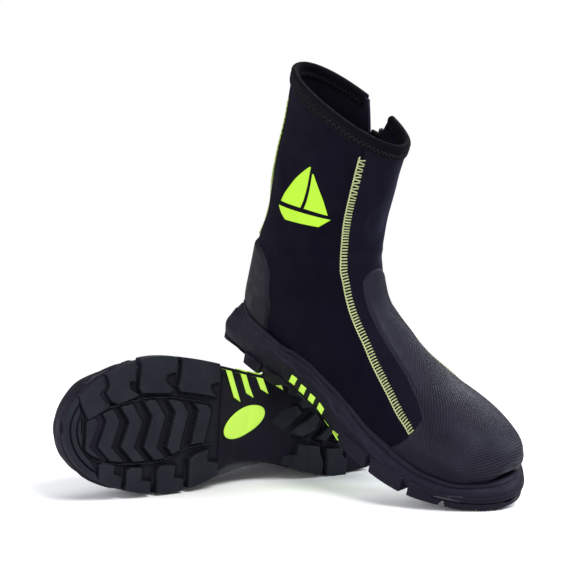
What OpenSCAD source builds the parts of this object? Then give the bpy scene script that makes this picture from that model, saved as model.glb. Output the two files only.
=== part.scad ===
// A pair of calf-high neoprene deck boots for dinghy and yacht sailing. The left boot lies on its zip
// side with the tread showing; the right boot stands beside it, toe on the ground, heel on the left one.
// One boot is modelled in its own frame (X lateral, Y heel to toe, Z up, ground at Z = 0) as a right
// boot; the left one is its mirror image. Every layer is a band of the same lofted foot shape.

/* [Upper] */
// Thickness of the neoprene wall (mm)
wall = 3.6; // [2.6:0.1:4.2]
// Thickness of the glued toe and heel rubbers (mm)
overlay = 1.4; // [0.8:0.1:1.8]
// Height of the bound edge round the collar (mm)
binding_height = 11; // [7:1:15]
// Thickness of the binding tape (mm)
binding = 1.3; // [0.8:0.1:2]
// Width of the raised overlock seams (mm)
seam_width = 5.4; // [3:0.2:7]
// Clearance kept between neighbouring pieces (mm)
gap = 0.4; // [0.3:0.05:0.5]

// Clearance under the glued rubbers, where the adhesive is (mm)
lift = 0.8; // [0.6:0.1:1]

/* [Zip] */
// Length of the zip on the inner side (mm)
zip_length = 133; // [110:1:140]
// Distance of the parked slider below the collar (mm)
slider_drop = 19; // [14:1:30]
// Pitch of the moulded zip teeth (mm)
tooth_pitch = 3; // [2.5:0.5:5]
// Width of each zip tape (mm)
tape_width = 8; // [6:0.5:10]

/* [Sole] */
// Thickness of the rubber rand round the foot (mm)
rand_wall = 4; // [3:0.25:4.5]
// Thickness of the tread plate between the lugs (mm)
plate = 2.4; // [1.6:0.2:3]
// Depth by which the lime inlays stand out of the arch (mm)
inlay = 0.8; // [0.4:0.1:1.4]
// Thickness of the removable footbed (mm)
footbed_thickness = 4; // [2:0.5:5]

/* [Arrangement] */
// Heading of the standing boot's toe (degrees)
stand_yaw = -131.3; // [-180:0.1:180]
// Pitch of the standing boot, toe down is negative (degrees)
stand_pitch = -23.5; // [-30:0.1:0]
// Lean of the standing boot towards its outer side (degrees)
stand_roll = 10.5; // [0:0.1:15]
// Heading of the lying boot's toe (degrees)
lie_yaw = 124.9; // [-180:0.1:180]
// Lift of the lying boot's toe (degrees)
lie_pitch = 5.3; // [0:0.1:12]
// Roll of the lying boot onto its inner side (degrees)
lie_roll = 92.2; // [80:0.1:100]

/* [Output] */
// Piece to draw

/* [Hidden] */
// Foot sections from toe tip to collar. Columns: front or top point (y, z), back or bottom point (y, z),
// half width, sideways shift, share of the section where it is widest, top and bottom roundness.
SECTIONS = [
  [303, 36.5, 303, 35.5, 0.8, -5, 0.50, 2.0, 2.0],
  [301, 45, 301, 27, 18, -5, 0.45, 2.0, 2.2],
  [295, 52, 295, 20, 29, -4, 0.40, 2.1, 2.3],
  [282.5, 60, 284.5, 14.5, 38, -3, 0.34, 2.1, 2.7],
  [254.5, 67, 258.5, 11.2, 46, -2, 0.30, 2.1, 3.2],
  [219, 73, 214, 10.3, 47.5, 0, 0.27, 2.1, 3.4],
  [187, 85, 177, 10.5, 44, 2, 0.26, 2.1, 3.4],
  [163, 98, 139, 15, 37.5, 3.5, 0.30, 2.1, 3.0],
  [148, 109, 92, 17, 34, 3, 0.38, 2.1, 2.7],
  [139.5, 119.5, 51, 13, 33, 1.5, 0.44, 2.1, 2.5],
  [134, 128.5, 13, 17, 32.5, 0, 0.48, 2.1, 2.3],
  [130.5, 137.5, 4, 38.5, 33.5, 0, 0.48, 2.1, 2.2],
  [128.5, 145.5, 3, 66, 32.5, 0, 0.50, 2.1, 2.2],
  [127.5, 155, 4.2, 99, 31, 0, 0.50, 2.1, 2.2],
  [127, 171, 7.2, 137.5, 29, 0, 0.50, 2.1, 2.2],
  [129, 195, 7.6, 179, 27.5, 0, 0.50, 2.1, 2.2],
  [132, 219, 7.4, 220, 26.5, 0, 0.50, 2.1, 2.2],
  [136, 244.5, 6, 261, 25.5, 0, 0.50, 2.1, 2.2]
];
LAST = len(SECTIONS) - 1;

// Plan outline of the outsole, anticlockwise from the heel (x outwards, y to the toe).
OUTLINE = [
  [0, -8], [19, -4], [33, 10], [38.5, 40], [40, 73], [41.8, 105], [46.3, 145], [53, 187], [55.5, 222],
  [53.5, 260], [43, 290], [19, 309], [-18, 311], [-42, 295], [-54, 263], [-56, 220], [-51, 182],
  [-42, 145], [-35.5, 110], [-35, 78], [-39, 42], [-34, 10], [-19, -4]
];

// Side profiles of the sole as [y, z]: ground surface, top of the tread plate over the ground surface,
// top of the midsole and top edge of the rand.
GROUND = [[-12, 8], [-4, 3], [4, 0], [80, 0], [90, 6], [100, 9], [138, 9.5], [154, 5], [168, 1],
          [180, 0], [256, 0], [276, 1], [297, 3], [318, 7]];
PLATE_TOP = [[-12, 12], [-4, 8], [78, 6.6], [98, 11.6], [138, 12.1], [156, 8.4], [176, 6.2],
             [256, 6.2], [276, 7.2], [297, 9.4], [318, 13.4]];
MIDSOLE_TOP = [[-12, 16], [8, 12.2], [52, 12.2], [92, 16], [139, 14], [168, 9.8], [250, 9.8],
               [272, 11], [287, 14], [318, 21]];
RAND_TOP = [[-12, 24], [-8, 27], [-3, 42], [2, 45], [12, 43], [30, 39], [57, 39], [75, 38.5], [97, 41],
            [117, 42], [145, 38.5], [173, 35], [190, 31], [220, 28], [258, 24], [280, 25], [318, 27]];

function blend4(a, b, c, d, f) =
  0.5 * (2 * b + (c - a) * f + (2 * a - 5 * b + 4 * c - d) * f * f + (3 * b - a - 3 * c + d) * f * f * f);

// Section at v, 0 at the toe tip and 1 at the collar.
function section(v) =
  let (x = max(v, 0) * LAST, i = min(floor(x), LAST - 1), f = x - i,
       b = SECTIONS[i], c = SECTIONS[i + 1],
       a = i > 0 ? SECTIONS[i - 1] : 2 * b - c,
       d = i < LAST - 1 ? SECTIONS[i + 2] : 2 * c - b)
  blend4(a, b, c, d, f);

function spow(a, n) = sign(a) * pow(abs(a), 2 / n);

// Point on the foot at angle u (0 front or top, 90 outer side, 180 back or bottom), d inside the skin.
function skin(u, v, d) =
  let (inner = max(d, 0), outer = max(-d, 0),
       s = section(v + inner * 0.015 * max(0, 1 - v / 0.14)),
       top = [s[0], s[1]], low = [s[2], s[3]], along = (top - low) / norm(top - low),
       t = top - along * d, b = low + along * d,
       round_by = cos(u) >= 0 ? s[7] : s[8],
       az = spow(cos(u), round_by), h = s[6] + (cos(u) >= 0 ? 1 - s[6] : s[6]) * az,
       p = b + (t - b) * h, nose = outer * max(0, 1 - v / 0.1))
  [s[5] + (s[4] - d) * spow(sin(u), round_by), p[0] + nose, p[1]];

// Faces of a solid made of an outer and an inner grid of rows x cols points.
function grid_faces(rows, cols) =
  let (k = rows * cols)
  concat(
    [for (i = [0:rows - 2], j = [0:cols - 2]) [i*cols+j, i*cols+j+1, (i+1)*cols+j+1, (i+1)*cols+j]],
    [for (i = [0:rows - 2], j = [0:cols - 2]) [k+i*cols+j, k+(i+1)*cols+j, k+(i+1)*cols+j+1, k+i*cols+j+1]],
    [for (j = [0:cols - 2]) [j, k+j, k+j+1, j+1]],
    [for (j = [0:cols - 2]) let (r = (rows-1)*cols) [r+j, r+j+1, k+r+j+1, k+r+j]],
    [for (i = [0:rows - 2]) [i*cols, (i+1)*cols, k+(i+1)*cols, k+i*cols]],
    [for (i = [0:rows - 2]) let (c = cols-1) [i*cols+c, k+i*cols+c, k+(i+1)*cols+c, (i+1)*cols+c]]
  );

// Value at x on a polyline of [x, value] points.
function level(line, x, i = 0) =
  i >= len(line) - 2 || x <= line[i + 1][0]
    ? line[i][1] + (line[i + 1][1] - line[i][1]) * (x - line[i][0]) / (line[i + 1][0] - line[i][0])
    : level(line, x, i + 1);

// Band of the foot between two edge lines (angle against v), from d0 to d1 inside the skin.
module band(edge0, edge1, v0, v1, d0, d1, rows, cols) {
  grid = [for (d = [d0, d1], i = [0:rows - 1], j = [0:cols - 1])
    let (v = v0 + (v1 - v0) * i / (rows - 1), a = level(edge0, v), b = level(edge1, v))
    skin(a + (b - a) * j / (cols - 1), v, d)];
  polyhedron(grid, grid_faces(rows, cols), convexity = 6);
}

// Edge lines of the pieces: [v, angle].
FRONT_SEAM = [[0, 104], [0.2, 104], [0.245, 80], [0.264, 63], [0.287, 55], [0.324, 46], [0.37, 41],
              [0.42, 38], [0.58, 38], [0.65, 40], [0.76, 44], [0.85, 50], [0.92, 52], [1.1, 56]];
ZIP_FRONT = [[0, -104], [0.2, -104], [0.245, -80], [0.264, -63], [0.287, -55], [0.324, -48], [0.37, -46],
             [0.42, -50], [0.48, -60], [0.55, -74], [0.93, -75], [1, -67], [1.1, -59]];
ZIP_BACK = [[0, -104], [0.2, -104], [0.245, -80], [0.264, -63], [0.287, -55], [0.324, -48], [0.37, -46],
            [0.42, -51], [0.48, -63], [0.55, -82], [0.93, -83], [1, -91], [1.1, -99]];
BACK = [[0, 180], [0.5, 180], [0.6, 166], [0.75, 155], [1.1, 155]];
TONGUE_EDGE = [[0.26, 46], [0.275, 38], [0.291, 31], [0.33, 23], [0.375, 21], [0.574, 21], [0.597, 13],
               [0.61, 3], [0.62, 1]];
HEEL_OUT = [[0.54, 125], [0.556, 118], [0.607, 101], [0.686, 105], [0.717, 111], [0.755, 128], [0.768, 150]];
HEEL_IN = [[0.54, 230], [0.556, 236], [0.607, 250], [0.686, 244], [0.717, 235], [0.755, 212], [0.768, 178]];

function shift(line, by) = [for (p = line) [p[0], p[1] + by]];
function flip(line) = [for (p = line) [p[0], -p[1]]];

// Every band has its rows on the same stations, so neighbouring facets lie flat on each other.
STEP = 1 / 41;
TOE_ROWS = 8;
V_TOE = TOE_ROWS * STEP;

// ---- Neoprene upper ------------------------------------------------------------------------------

module toe_box() color("#1b1b22") {
  rings = TOE_ROWS + 1;
  around = 36;
  ring = [for (d = [gap, wall], i = [0:rings - 1], j = [0:around - 1])
    skin(j * 360 / around, V_TOE * i / (rings - 1) - (i == rings - 1 ? 0.002 : 0), d)];
  k = rings * around;
  faces = concat(
    [for (i = [0:rings - 2], j = [0:around - 1]) let (n = (j + 1) % around)
      [i*around+j, i*around+n, (i+1)*around+n, (i+1)*around+j]],
    [for (i = [0:rings - 2], j = [0:around - 1]) let (n = (j + 1) % around)
      [k+i*around+j, k+(i+1)*around+j, k+(i+1)*around+n, k+i*around+n]],
    [for (j = [0:around - 1]) let (n = (j + 1) % around, r = (rings - 1) * around)
      [r+j, r+n, k+r+n, k+r+j]],
    [[for (j = [around - 1:-1:0]) j]],
    [[for (j = [0:around - 1]) k + j]]
  );
  polyhedron(ring, faces, convexity = 6);
}

module front_panel() color("#23232b")
  band(shift(ZIP_FRONT, 0.3), shift(FRONT_SEAM, -0.3), V_TOE, 1, 0, wall, 34, 11);

module outer_panel() color("#15141c")
  band(shift(FRONT_SEAM, 0.3), shift(BACK, -0.3), V_TOE, 1, 0, wall, 34, 12);

module inner_panel() color("#15141c")
  band(shift(BACK, 0.3), shift(ZIP_BACK, 359.7), V_TOE, 1, 0, wall, 34, 12);

module zip_gusset() color("#0f0f14")
  band([[0, -96], [1.1, -96]], [[0, -62], [1.1, -62]], 24 * STEP, 39 * STEP, wall + gap, wall + gap + 1.6, 16, 6);

module footbed() color("#2b2d33")
  band([[0, 140], [0.5, 140], [0.62, 165], [1.1, 165]], [[0, 220], [0.5, 220], [0.62, 195], [1.1, 195]],
       4 * STEP, 24 * STEP, wall + 3 * gap, wall + 3 * gap + footbed_thickness, 21, 10);

// Bound edge: a U of tape folded over the collar, open at the zip.
module collar_binding() color("#0e0d13") {
  fold = 1 / LAST / 26;
  low = 1 - binding_height * fold;
  free = gap + 0.5;
  over = 1 + (free + binding) * fold;
  loop = [[low, -free - binding], [over - 0.6 * fold, -free - binding], [over, -free - binding * 0.5],
          [over, wall + free + binding * 0.5], [over - 0.6 * fold, wall + free + binding],
          [low, wall + free + binding], [low, wall + free], [1 + free * fold, wall + free],
          [1 + free * fold, -free], [low, -free]];
  steps = 44;
  m = len(loop);
  start = -66;
  sweep = 360 - 28;
  points = [for (i = [0:steps], p = loop) skin(start + sweep * i / steps, p[0], p[1])];
  // The end faces are split where the U turns, so that no facet bridges its mouth.
  ends = [[0, 1, 8, 9], [1, 2, 8], [2, 3, 7, 8], [3, 4, 7], [4, 5, 6, 7]];
  faces = concat(
    [for (i = [0:steps - 1], j = [0:m - 1]) let (n = (j + 1) % m) [i*m+j, (i+1)*m+j, (i+1)*m+n, i*m+n]],
    ends,
    [for (f = ends) [for (j = [len(f) - 1:-1:0]) steps * m + f[j]]]
  );
  polyhedron(points, faces, convexity = 8);
}

// ---- Rubber overlays -----------------------------------------------------------------------------

// Toe cap: a cup over the toes, with a tongue up the instep.
module toe_cap() color("#3a3f4d") {
  band([[0, -96], [0.3, -100]], [[0, 96], [0.3, 100]], 0, 11 * STEP, -overlay - lift, -lift, 12, 19);
  band(flip(TONGUE_EDGE), TONGUE_EDGE, 11 * STEP, 25 * STEP, -overlay - lift, -lift, 15, 7);
}

module heel_patch() color("#2c2a2e")
  band(HEEL_OUT, HEEL_IN, 24 * STEP, 31 * STEP, -overlay - lift, -lift, 8, 15);

// ---- Seams and print -----------------------------------------------------------------------------

module front_seam() color("#d9e6b0")
  band(shift(FRONT_SEAM, -3.2), shift(FRONT_SEAM, 3.2), 11 * STEP, 39 * STEP, -gap - 0.6, -gap, 29, 4);

module back_seam() color("#d9e6b0")
  band(shift(BACK, -3), shift(BACK, 3), 32 * STEP, 39 * STEP, -gap - 0.6, -gap, 8, 4);

module inner_seam() color("#d9e6b0")
  band(shift(ZIP_FRONT, -3.4), shift(ZIP_FRONT, 3), 12 * STEP, 22 * STEP, -gap - 0.6, -gap, 11, 4);

// Printed mark on the outer side: two sails over a hull.
module side_mark() color("#bef03c") {
  band([[0.82, 97], [0.92, 97]], [[0.82, 118], [0.92, 98]], 0.825, 0.905, -gap - 0.4, -gap, 5, 5);
  band([[0.82, 75], [0.9, 93]], [[0.82, 94], [0.92, 94]], 0.825, 0.885, -gap - 0.4, -gap, 5, 5);
  band([[0.79, 80], [0.82, 68]], [[0.79, 112], [0.82, 124]], 0.793, 0.817, -gap - 0.4, -gap, 3, 9);
}

// ---- Sole ----------------------------------------------------------------------------------------

// Smooth closed curve through the outline, moved inwards by an amount.
function outline_at(k) = let (n = len(OUTLINE)) OUTLINE[(k + n) % n];
function smooth_outline(steps) =
  [for (i = [0:len(OUTLINE) - 1], s = [0:steps - 1])
    blend4(outline_at(i - 1), outline_at(i), outline_at(i + 1), outline_at(i + 2), s / steps)];
function inset(line, by) =
  let (n = len(line))
  [for (i = [0:n - 1]) let (t = line[(i + 1) % n] - line[(i + n - 1) % n])
    line[i] + by * [-t[1], t[0]] / norm(t)];
CURVE = smooth_outline(3);

function raised(line, by) = [for (p = line) [p[0], p[1] + by]];
function backwards(line) = [for (i = [len(line) - 1:-1:0]) line[i]];

// Slab of the sole between two side profiles.
module layer(low, high)
  rotate([90, 0, 90])
    translate([0, 0, -80])
      linear_extrude(height = 160)
        polygon(concat(low, backwards(high)));

module plan(by, low = -5, high = 70)
  translate([0, 0, low])
    linear_extrude(height = high - low)
      polygon(inset(CURVE, by));

module rand() color("#29262f")
  difference() {
    intersection() {
      plan(0);
      layer(raised(PLATE_TOP, 0.05), RAND_TOP);
    }
    intersection() {
      plan(rand_wall);
      layer(raised(PLATE_TOP, 1.2), raised(RAND_TOP, 30));
    }
  }

module midsole() color("#54565c")
  intersection() {
    plan(rand_wall + gap);
    layer(raised(PLATE_TOP, 1.25), MIDSOLE_TOP);
  }

// Chevron bar of the tread, centred at y, pointing to the toe.
module chevron(y, half, rise, thick)
  translate([0, y])
    polygon([[-half, 0], [-half * 0.35, rise * 0.25], [half * 0.1, rise], [half, rise * 0.7],
             [half, rise * 0.7 + thick], [half * 0.1, rise + thick], [-half * 0.35, rise * 0.25 + thick],
             [-half, thick]]);

// Hooked lug at one edge of the forefoot or heel; side is 1 outside, -1 inside.
module edge_lug(side, y, reach, long)
  translate([side * 62, y])
    polygon([[0, 0], [-side * (62 - reach), 4], [-side * (62 - reach + 8), long * 0.55],
             [-side * (62 - reach + 3), long * 0.62], [-side * (62 - reach - 4), long * 0.4],
             [-side * (62 - reach - 6), long], [0, long - 5]]);

module lugs()
  translate([0, 0, -1])
    linear_extrude(height = 12) {
      for (i = [0:5])
        chevron(165 + i * 16.5, 21, 8, 7.5);
      for (side = [-1, 1], i = [0:3])
        edge_lug(side, 172 + i * 28, 34 - i * 0.6, 21);
      for (side = [-1, 1], i = [0:2])
        edge_lug(side, 2 + i * 21, 22, 16);
      for (i = [0:2])
        chevron(8 + i * 17, 13, 6, 7);
      difference() {
        translate([-60, 262]) square([120, 50]);
        translate([-60, 246]) square([120, 16]);
        translate([0, 262]) circle(r = 17, $fn = 40);
        translate([0, 262]) difference() { circle(r = 30, $fn = 48); circle(r = 25, $fn = 48); }
      }
    }

module tread() color("#262c30")
  intersection() {
    plan(0);
    layer(GROUND, PLATE_TOP);
    union() {
      layer(raised(PLATE_TOP, -plate), PLATE_TOP);
      lugs();
    }
  }

// Bars that run in from the outer edge under the arch.
module arch_bar(i)
  translate([24, 109.5 + i * 13.2])
    rotate([0, 0, 27])
      translate([0, -3.6])
        square([34, 7.2]);

module arch_inlays() color("#b4ff50")
  intersection() {
    plan(0.6);
    layer(raised(GROUND, -inlay), raised(GROUND, -0.05));
    translate([0, 0, -5])
      linear_extrude(height = 25)
        for (i = [0:3])
          arch_bar(i);
  }

module arch_badge() color("#b4ff50")
  intersection() {
    layer(raised(GROUND, -inlay), raised(GROUND, -0.05));
    translate([3.5, 141, -5])
      rotate([0, 0, 115])
        linear_extrude(height = 25)
          polygon([for (a = [0:10:350]) [24 * cos(a), 11.2 * sin(a)]]);
  }

// ---- Zip -----------------------------------------------------------------------------------------

// Ends of the zip line on the inner side, and its frame: X outwards, Y across, Z up from the lower end.
ZIP_LOW = [-31.7, 78.6, 118];
ZIP_TOP = [-25.1, 86, 251];
ZIP_TURN = 176;
up = (ZIP_TOP - ZIP_LOW) / norm(ZIP_TOP - ZIP_LOW);
side_x = up[0] * cos(ZIP_TURN) + up[1] * sin(ZIP_TURN);
side_y = -up[0] * sin(ZIP_TURN) + up[1] * cos(ZIP_TURN);
zip_tilt = [-asin(side_y), atan2(side_x, up[2]), ZIP_TURN];
STAND = 1.4;
teeth_top = zip_length - slider_drop;

module at_zip()
  translate(ZIP_LOW)
    rotate(zip_tilt)
      translate([STAND, 0, 0])
        children();

module box(x0, x1, y0, y1, z0, z1)
  translate([x0, y0, z0])
    cube([x1 - x0, y1 - y0, z1 - z0]);

module tape(side) color("#101016")
  at_zip()
    if (side > 0)
      box(0, 0.8, 0.6, 0.6 + tape_width, 0, zip_length - 12);
    else
      box(0, 0.8, -0.6 - tape_width, -0.6, 0, zip_length - 12);

module tape_front() tape(1);
module tape_back() tape(-1);

module teeth(side) color("#202028")
  at_zip() {
    near = side > 0 ? 0.15 : -2.35;
    spine = side > 0 ? 1.25 : -2.35;
    box(1, 2.6, spine, spine + 1.1, 4, zip_length - 14);
    for (i = [0:floor((zip_length - 22) / tooth_pitch)])
      box(1, 2.4, near, near + 2.2, 5 + i * tooth_pitch, 6.6 + i * tooth_pitch);
  }

module teeth_front() teeth(1);
module teeth_back() teeth(-1);

module zip_stop() color("#303038")
  at_zip()
    box(1, 3, -2.6, 2.6, -2, 3.6);

// Slider: a plate over the teeth with a flange down each side and a pin on two ears for the pull.
PIN = [6.5, 5.5];
pin_radius = 0.6;
module cross_pin(radius, half)
  translate([PIN[0], half, PIN[1]])
    rotate([90, 0, 0])
      cylinder(r = radius, h = 2 * half, $fn = 24);

module zip_slider() color("#3c3c44")
  at_zip()
    translate([0, 0, teeth_top - 12]) {
      box(2.95, 4.4, -4.3, 4.3, 0, 11);
      box(1.15, 4.4, -4.3, -2.75, 0, 11);
      box(1.15, 4.4, 2.75, 4.3, 0, 11);
      for (y = [-3.3, 2.3])
        box(4.3, 7.5, y, y + 1, 4.5, 6.5);
      cross_pin(pin_radius, 3);
    }

// Pull: an eye round the pin and a flat strap hung from it.
module zip_pull() color("#b4ff50")
  at_zip()
    translate([0, 0, teeth_top - 12])
      difference() {
        union() {
          cross_pin(1.6, 1.9);
          box(5.9, 7.1, -1.9, 1.9, 0.5, 5);
          box(5.9, 7.1, -3.5, 3.5, -24, 0.6);
        }
        cross_pin(pin_radius + 0.05, 2.5);
      }

// ---- Placing the two boots -----------------------------------------------------------------------

// The lying boot rests on its forefoot edge, heel edge and zip pull; the standing boot on its toe and,
// at the heel, on the outer edge of the lying sole. The pair is centred over the origin.
PAIR_SHIFT = [-43.54, 4.85, 0.02];
STAND_AT = [0, 0, 122.15];
LIE_AT = [123.4, -8, 36.9];

module standing()
  translate(PAIR_SHIFT + STAND_AT)
    rotate([0, 0, stand_yaw])
      rotate([stand_pitch, 0, 0])
        rotate([0, stand_roll, 0])
          children();

module lying()
  translate(PAIR_SHIFT + LIE_AT)
    rotate([0, 0, lie_yaw])
      rotate([lie_pitch, 0, 0])
        rotate([0, lie_roll, 0])
          mirror([1, 0, 0])
            children();

module left_tread() lying() tread();
module left_rand() lying() rand();
module left_midsole() lying() midsole();
module left_footbed() lying() footbed();
module left_toe_box() lying() toe_box();
module left_front_panel() lying() front_panel();
module left_outer_panel() lying() outer_panel();
module left_inner_panel() lying() inner_panel();
module left_zip_gusset() lying() zip_gusset();
module left_collar_binding() lying() collar_binding();
module left_toe_cap() lying() toe_cap();
module left_heel_patch() lying() heel_patch();
module left_front_seam() lying() front_seam();
module left_back_seam() lying() back_seam();
module left_inner_seam() lying() inner_seam();
module left_side_mark() lying() side_mark();
module left_arch_inlays() lying() arch_inlays();
module left_arch_badge() lying() arch_badge();
module left_tape_front() lying() tape_front();
module left_tape_back() lying() tape_back();
module left_teeth_front() lying() teeth_front();
module left_teeth_back() lying() teeth_back();
module left_zip_stop() lying() zip_stop();
module left_zip_slider() lying() zip_slider();
module left_zip_pull() lying() zip_pull();

module right_tread() standing() tread();
module right_rand() standing() rand();
module right_midsole() standing() midsole();
module right_footbed() standing() footbed();
module right_toe_box() standing() toe_box();
module right_front_panel() standing() front_panel();
module right_outer_panel() standing() outer_panel();
module right_inner_panel() standing() inner_panel();
module right_zip_gusset() standing() zip_gusset();
module right_collar_binding() standing() collar_binding();
module right_toe_cap() standing() toe_cap();
module right_heel_patch() standing() heel_patch();
module right_front_seam() standing() front_seam();
module right_back_seam() standing() back_seam();
module right_inner_seam() standing() inner_seam();
module right_side_mark() standing() side_mark();
module right_arch_inlays() standing() arch_inlays();
module right_arch_badge() standing() arch_badge();
module right_tape_front() standing() tape_front();
module right_tape_back() standing() tape_back();
module right_teeth_front() standing() teeth_front();
module right_teeth_back() standing() teeth_back();
module right_zip_stop() standing() zip_stop();
module right_zip_slider() standing() zip_slider();
module right_zip_pull() standing() zip_pull();

left_tread();
left_rand();
left_midsole();
left_footbed();
left_toe_box();
left_front_panel();
left_outer_panel();
left_inner_panel();
left_zip_gusset();
left_collar_binding();
left_toe_cap();
left_heel_patch();
left_front_seam();
left_back_seam();
left_inner_seam();
left_side_mark();
left_arch_inlays();
left_arch_badge();
left_tape_front();
left_tape_back();
left_teeth_front();
left_teeth_back();
left_zip_stop();
left_zip_slider();
left_zip_pull();
right_tread();
right_rand();
right_midsole();
right_footbed();
right_toe_box();
right_front_panel();
right_outer_panel();
right_inner_panel();
right_zip_gusset();
right_collar_binding();
right_toe_cap();
right_heel_patch();
right_front_seam();
right_back_seam();
right_inner_seam();
right_side_mark();
right_arch_inlays();
right_arch_badge();
right_tape_front();
right_tape_back();
right_teeth_front();
right_teeth_back();
right_zip_stop();
right_zip_slider();
right_zip_pull();
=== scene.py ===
"""Looks of the two deck boots: neoprene, rubber, seams and zips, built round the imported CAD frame.

Every piece is built in the frame of a right boot in millimetres (X outwards, Y heel to toe, Z up). It is then
placed twice: as it is for the standing right boot, and mirrored in X for the lying left boot.
"""

import math

import bmesh
import bpy
import numpy as np
from mathutils import Matrix, Vector
from mathutils.bvhtree import BVHTree
from mathutils.kdtree import KDTree


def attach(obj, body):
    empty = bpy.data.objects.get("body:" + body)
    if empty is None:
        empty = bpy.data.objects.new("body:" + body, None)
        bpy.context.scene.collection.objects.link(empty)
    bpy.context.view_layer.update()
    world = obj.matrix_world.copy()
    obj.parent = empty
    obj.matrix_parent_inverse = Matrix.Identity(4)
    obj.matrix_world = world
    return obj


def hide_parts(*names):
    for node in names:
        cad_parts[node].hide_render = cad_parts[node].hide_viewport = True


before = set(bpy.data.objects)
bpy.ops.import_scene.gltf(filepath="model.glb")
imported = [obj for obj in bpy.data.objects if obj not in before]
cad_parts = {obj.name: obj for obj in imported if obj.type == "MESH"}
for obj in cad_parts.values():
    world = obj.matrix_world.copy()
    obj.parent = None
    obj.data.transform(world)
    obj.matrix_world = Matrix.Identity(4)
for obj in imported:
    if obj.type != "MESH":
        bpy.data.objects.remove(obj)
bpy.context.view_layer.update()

# ---- Placing: the same numbers as in part.scad -----------------------------------------------------

PAIR_SHIFT = (-43.54, 4.85, 0.02)
STAND_AT = (0, 0, 122.15)
STAND_TURN = (-131.3, -23.5, 10.5)
LIE_AT = (123.4, -8, 36.9)
LIE_TURN = (124.9, 5.3, 92.2)


def placing(at, turn, mirrored):
    """Matrix from boot millimetres to world metres. Turns are yaw about Z, pitch about X, roll about Y."""
    yaw, pitch, roll = (math.radians(a) for a in turn)
    turned = Matrix.Rotation(yaw, 3, "Z") @ Matrix.Rotation(pitch, 3, "X") @ Matrix.Rotation(roll, 3, "Y")
    if mirrored:
        turned = turned @ Matrix.Diagonal((-1, 1, 1))
    return np.array(turned) / 1000, (np.array(PAIR_SHIFT) + np.array(at)) / 1000


SIDES = {"right": placing(STAND_AT, STAND_TURN, False), "left": placing(LIE_AT, LIE_TURN, True)}

# ---- Shape of the foot: the same surface as in part.scad ---------------------------------------------

SECTIONS = np.array([
    [303, 36.5, 303, 35.5, 0.8, -5, 0.50, 2.0, 2.0],
    [301, 45, 301, 27, 18, -5, 0.45, 2.0, 2.2],
    [295, 52, 295, 20, 29, -4, 0.40, 2.1, 2.3],
    [282.5, 60, 284.5, 14.5, 38, -3, 0.34, 2.1, 2.7],
    [254.5, 67, 258.5, 11.2, 46, -2, 0.30, 2.1, 3.2],
    [219, 73, 214, 10.3, 47.5, 0, 0.27, 2.1, 3.4],
    [187, 85, 177, 10.5, 44, 2, 0.26, 2.1, 3.4],
    [163, 98, 139, 15, 37.5, 3.5, 0.30, 2.1, 3.0],
    [148, 109, 92, 17, 34, 3, 0.38, 2.1, 2.7],
    [139.5, 119.5, 51, 13, 33, 1.5, 0.44, 2.1, 2.5],
    [134, 128.5, 13, 17, 32.5, 0, 0.48, 2.1, 2.3],
    [130.5, 137.5, 4, 38.5, 33.5, 0, 0.48, 2.1, 2.2],
    [128.5, 145.5, 3, 66, 32.5, 0, 0.50, 2.1, 2.2],
    [127.5, 155, 4.2, 99, 31, 0, 0.50, 2.1, 2.2],
    [127, 171, 7.2, 137.5, 29, 0, 0.50, 2.1, 2.2],
    [129, 195, 7.6, 179, 27.5, 0, 0.50, 2.1, 2.2],
    [132, 219, 7.4, 220, 26.5, 0, 0.50, 2.1, 2.2],
    [136, 244.5, 6, 261, 25.5, 0, 0.50, 2.1, 2.2],
])
LAST = len(SECTIONS) - 1
WALL = 3.6
STEP = 1 / 41
V_TOE = 8 * STEP
MM = 1 / LAST / 26  # share of v that is one millimetre at the collar

FRONT_SEAM = [(0, 104), (0.2, 104), (0.245, 80), (0.264, 63), (0.287, 55), (0.324, 46), (0.37, 41),
              (0.42, 38), (0.58, 37), (0.65, 38), (0.76, 41), (0.85, 46), (0.92, 48), (1.1, 52)]
ZIP_FRONT = [(0, -104), (0.2, -104), (0.245, -80), (0.264, -63), (0.287, -55), (0.324, -48), (0.37, -46),
             (0.42, -50), (0.48, -60), (0.55, -74), (0.93, -75), (1, -67), (1.1, -59)]
ZIP_BACK = [(0, -104), (0.2, -104), (0.245, -80), (0.264, -63), (0.287, -55), (0.324, -48), (0.37, -46),
            (0.42, -51), (0.48, -63), (0.55, -82), (0.93, -83), (1, -91), (1.1, -99)]
BACK = [(0, 180), (0.5, 180), (0.6, 164), (0.75, 147), (1.1, 147)]
TONGUE = [(0.262, 46), (0.275, 38), (0.291, 31), (0.33, 23), (0.375, 21), (0.56, 21), (0.585, 18),
          (0.601, 12), (0.61, 5), (0.613, 0.5)]
CAP_BACK = [(0, 0.262), (46, 0.262), (57, 0.262), (66, 0.264), (76, 0.268), (90, 0.28), (104, 0.295)]
HEEL_OUT = [(0.54, 125), (0.556, 118), (0.607, 101), (0.686, 105), (0.717, 111), (0.745, 122), (0.762, 138),
            (0.769, 157)]
HEEL_IN = [(0.54, 230), (0.556, 236), (0.607, 250), (0.686, 244), (0.717, 235), (0.745, 216), (0.762, 186),
           (0.769, 160)]


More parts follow.
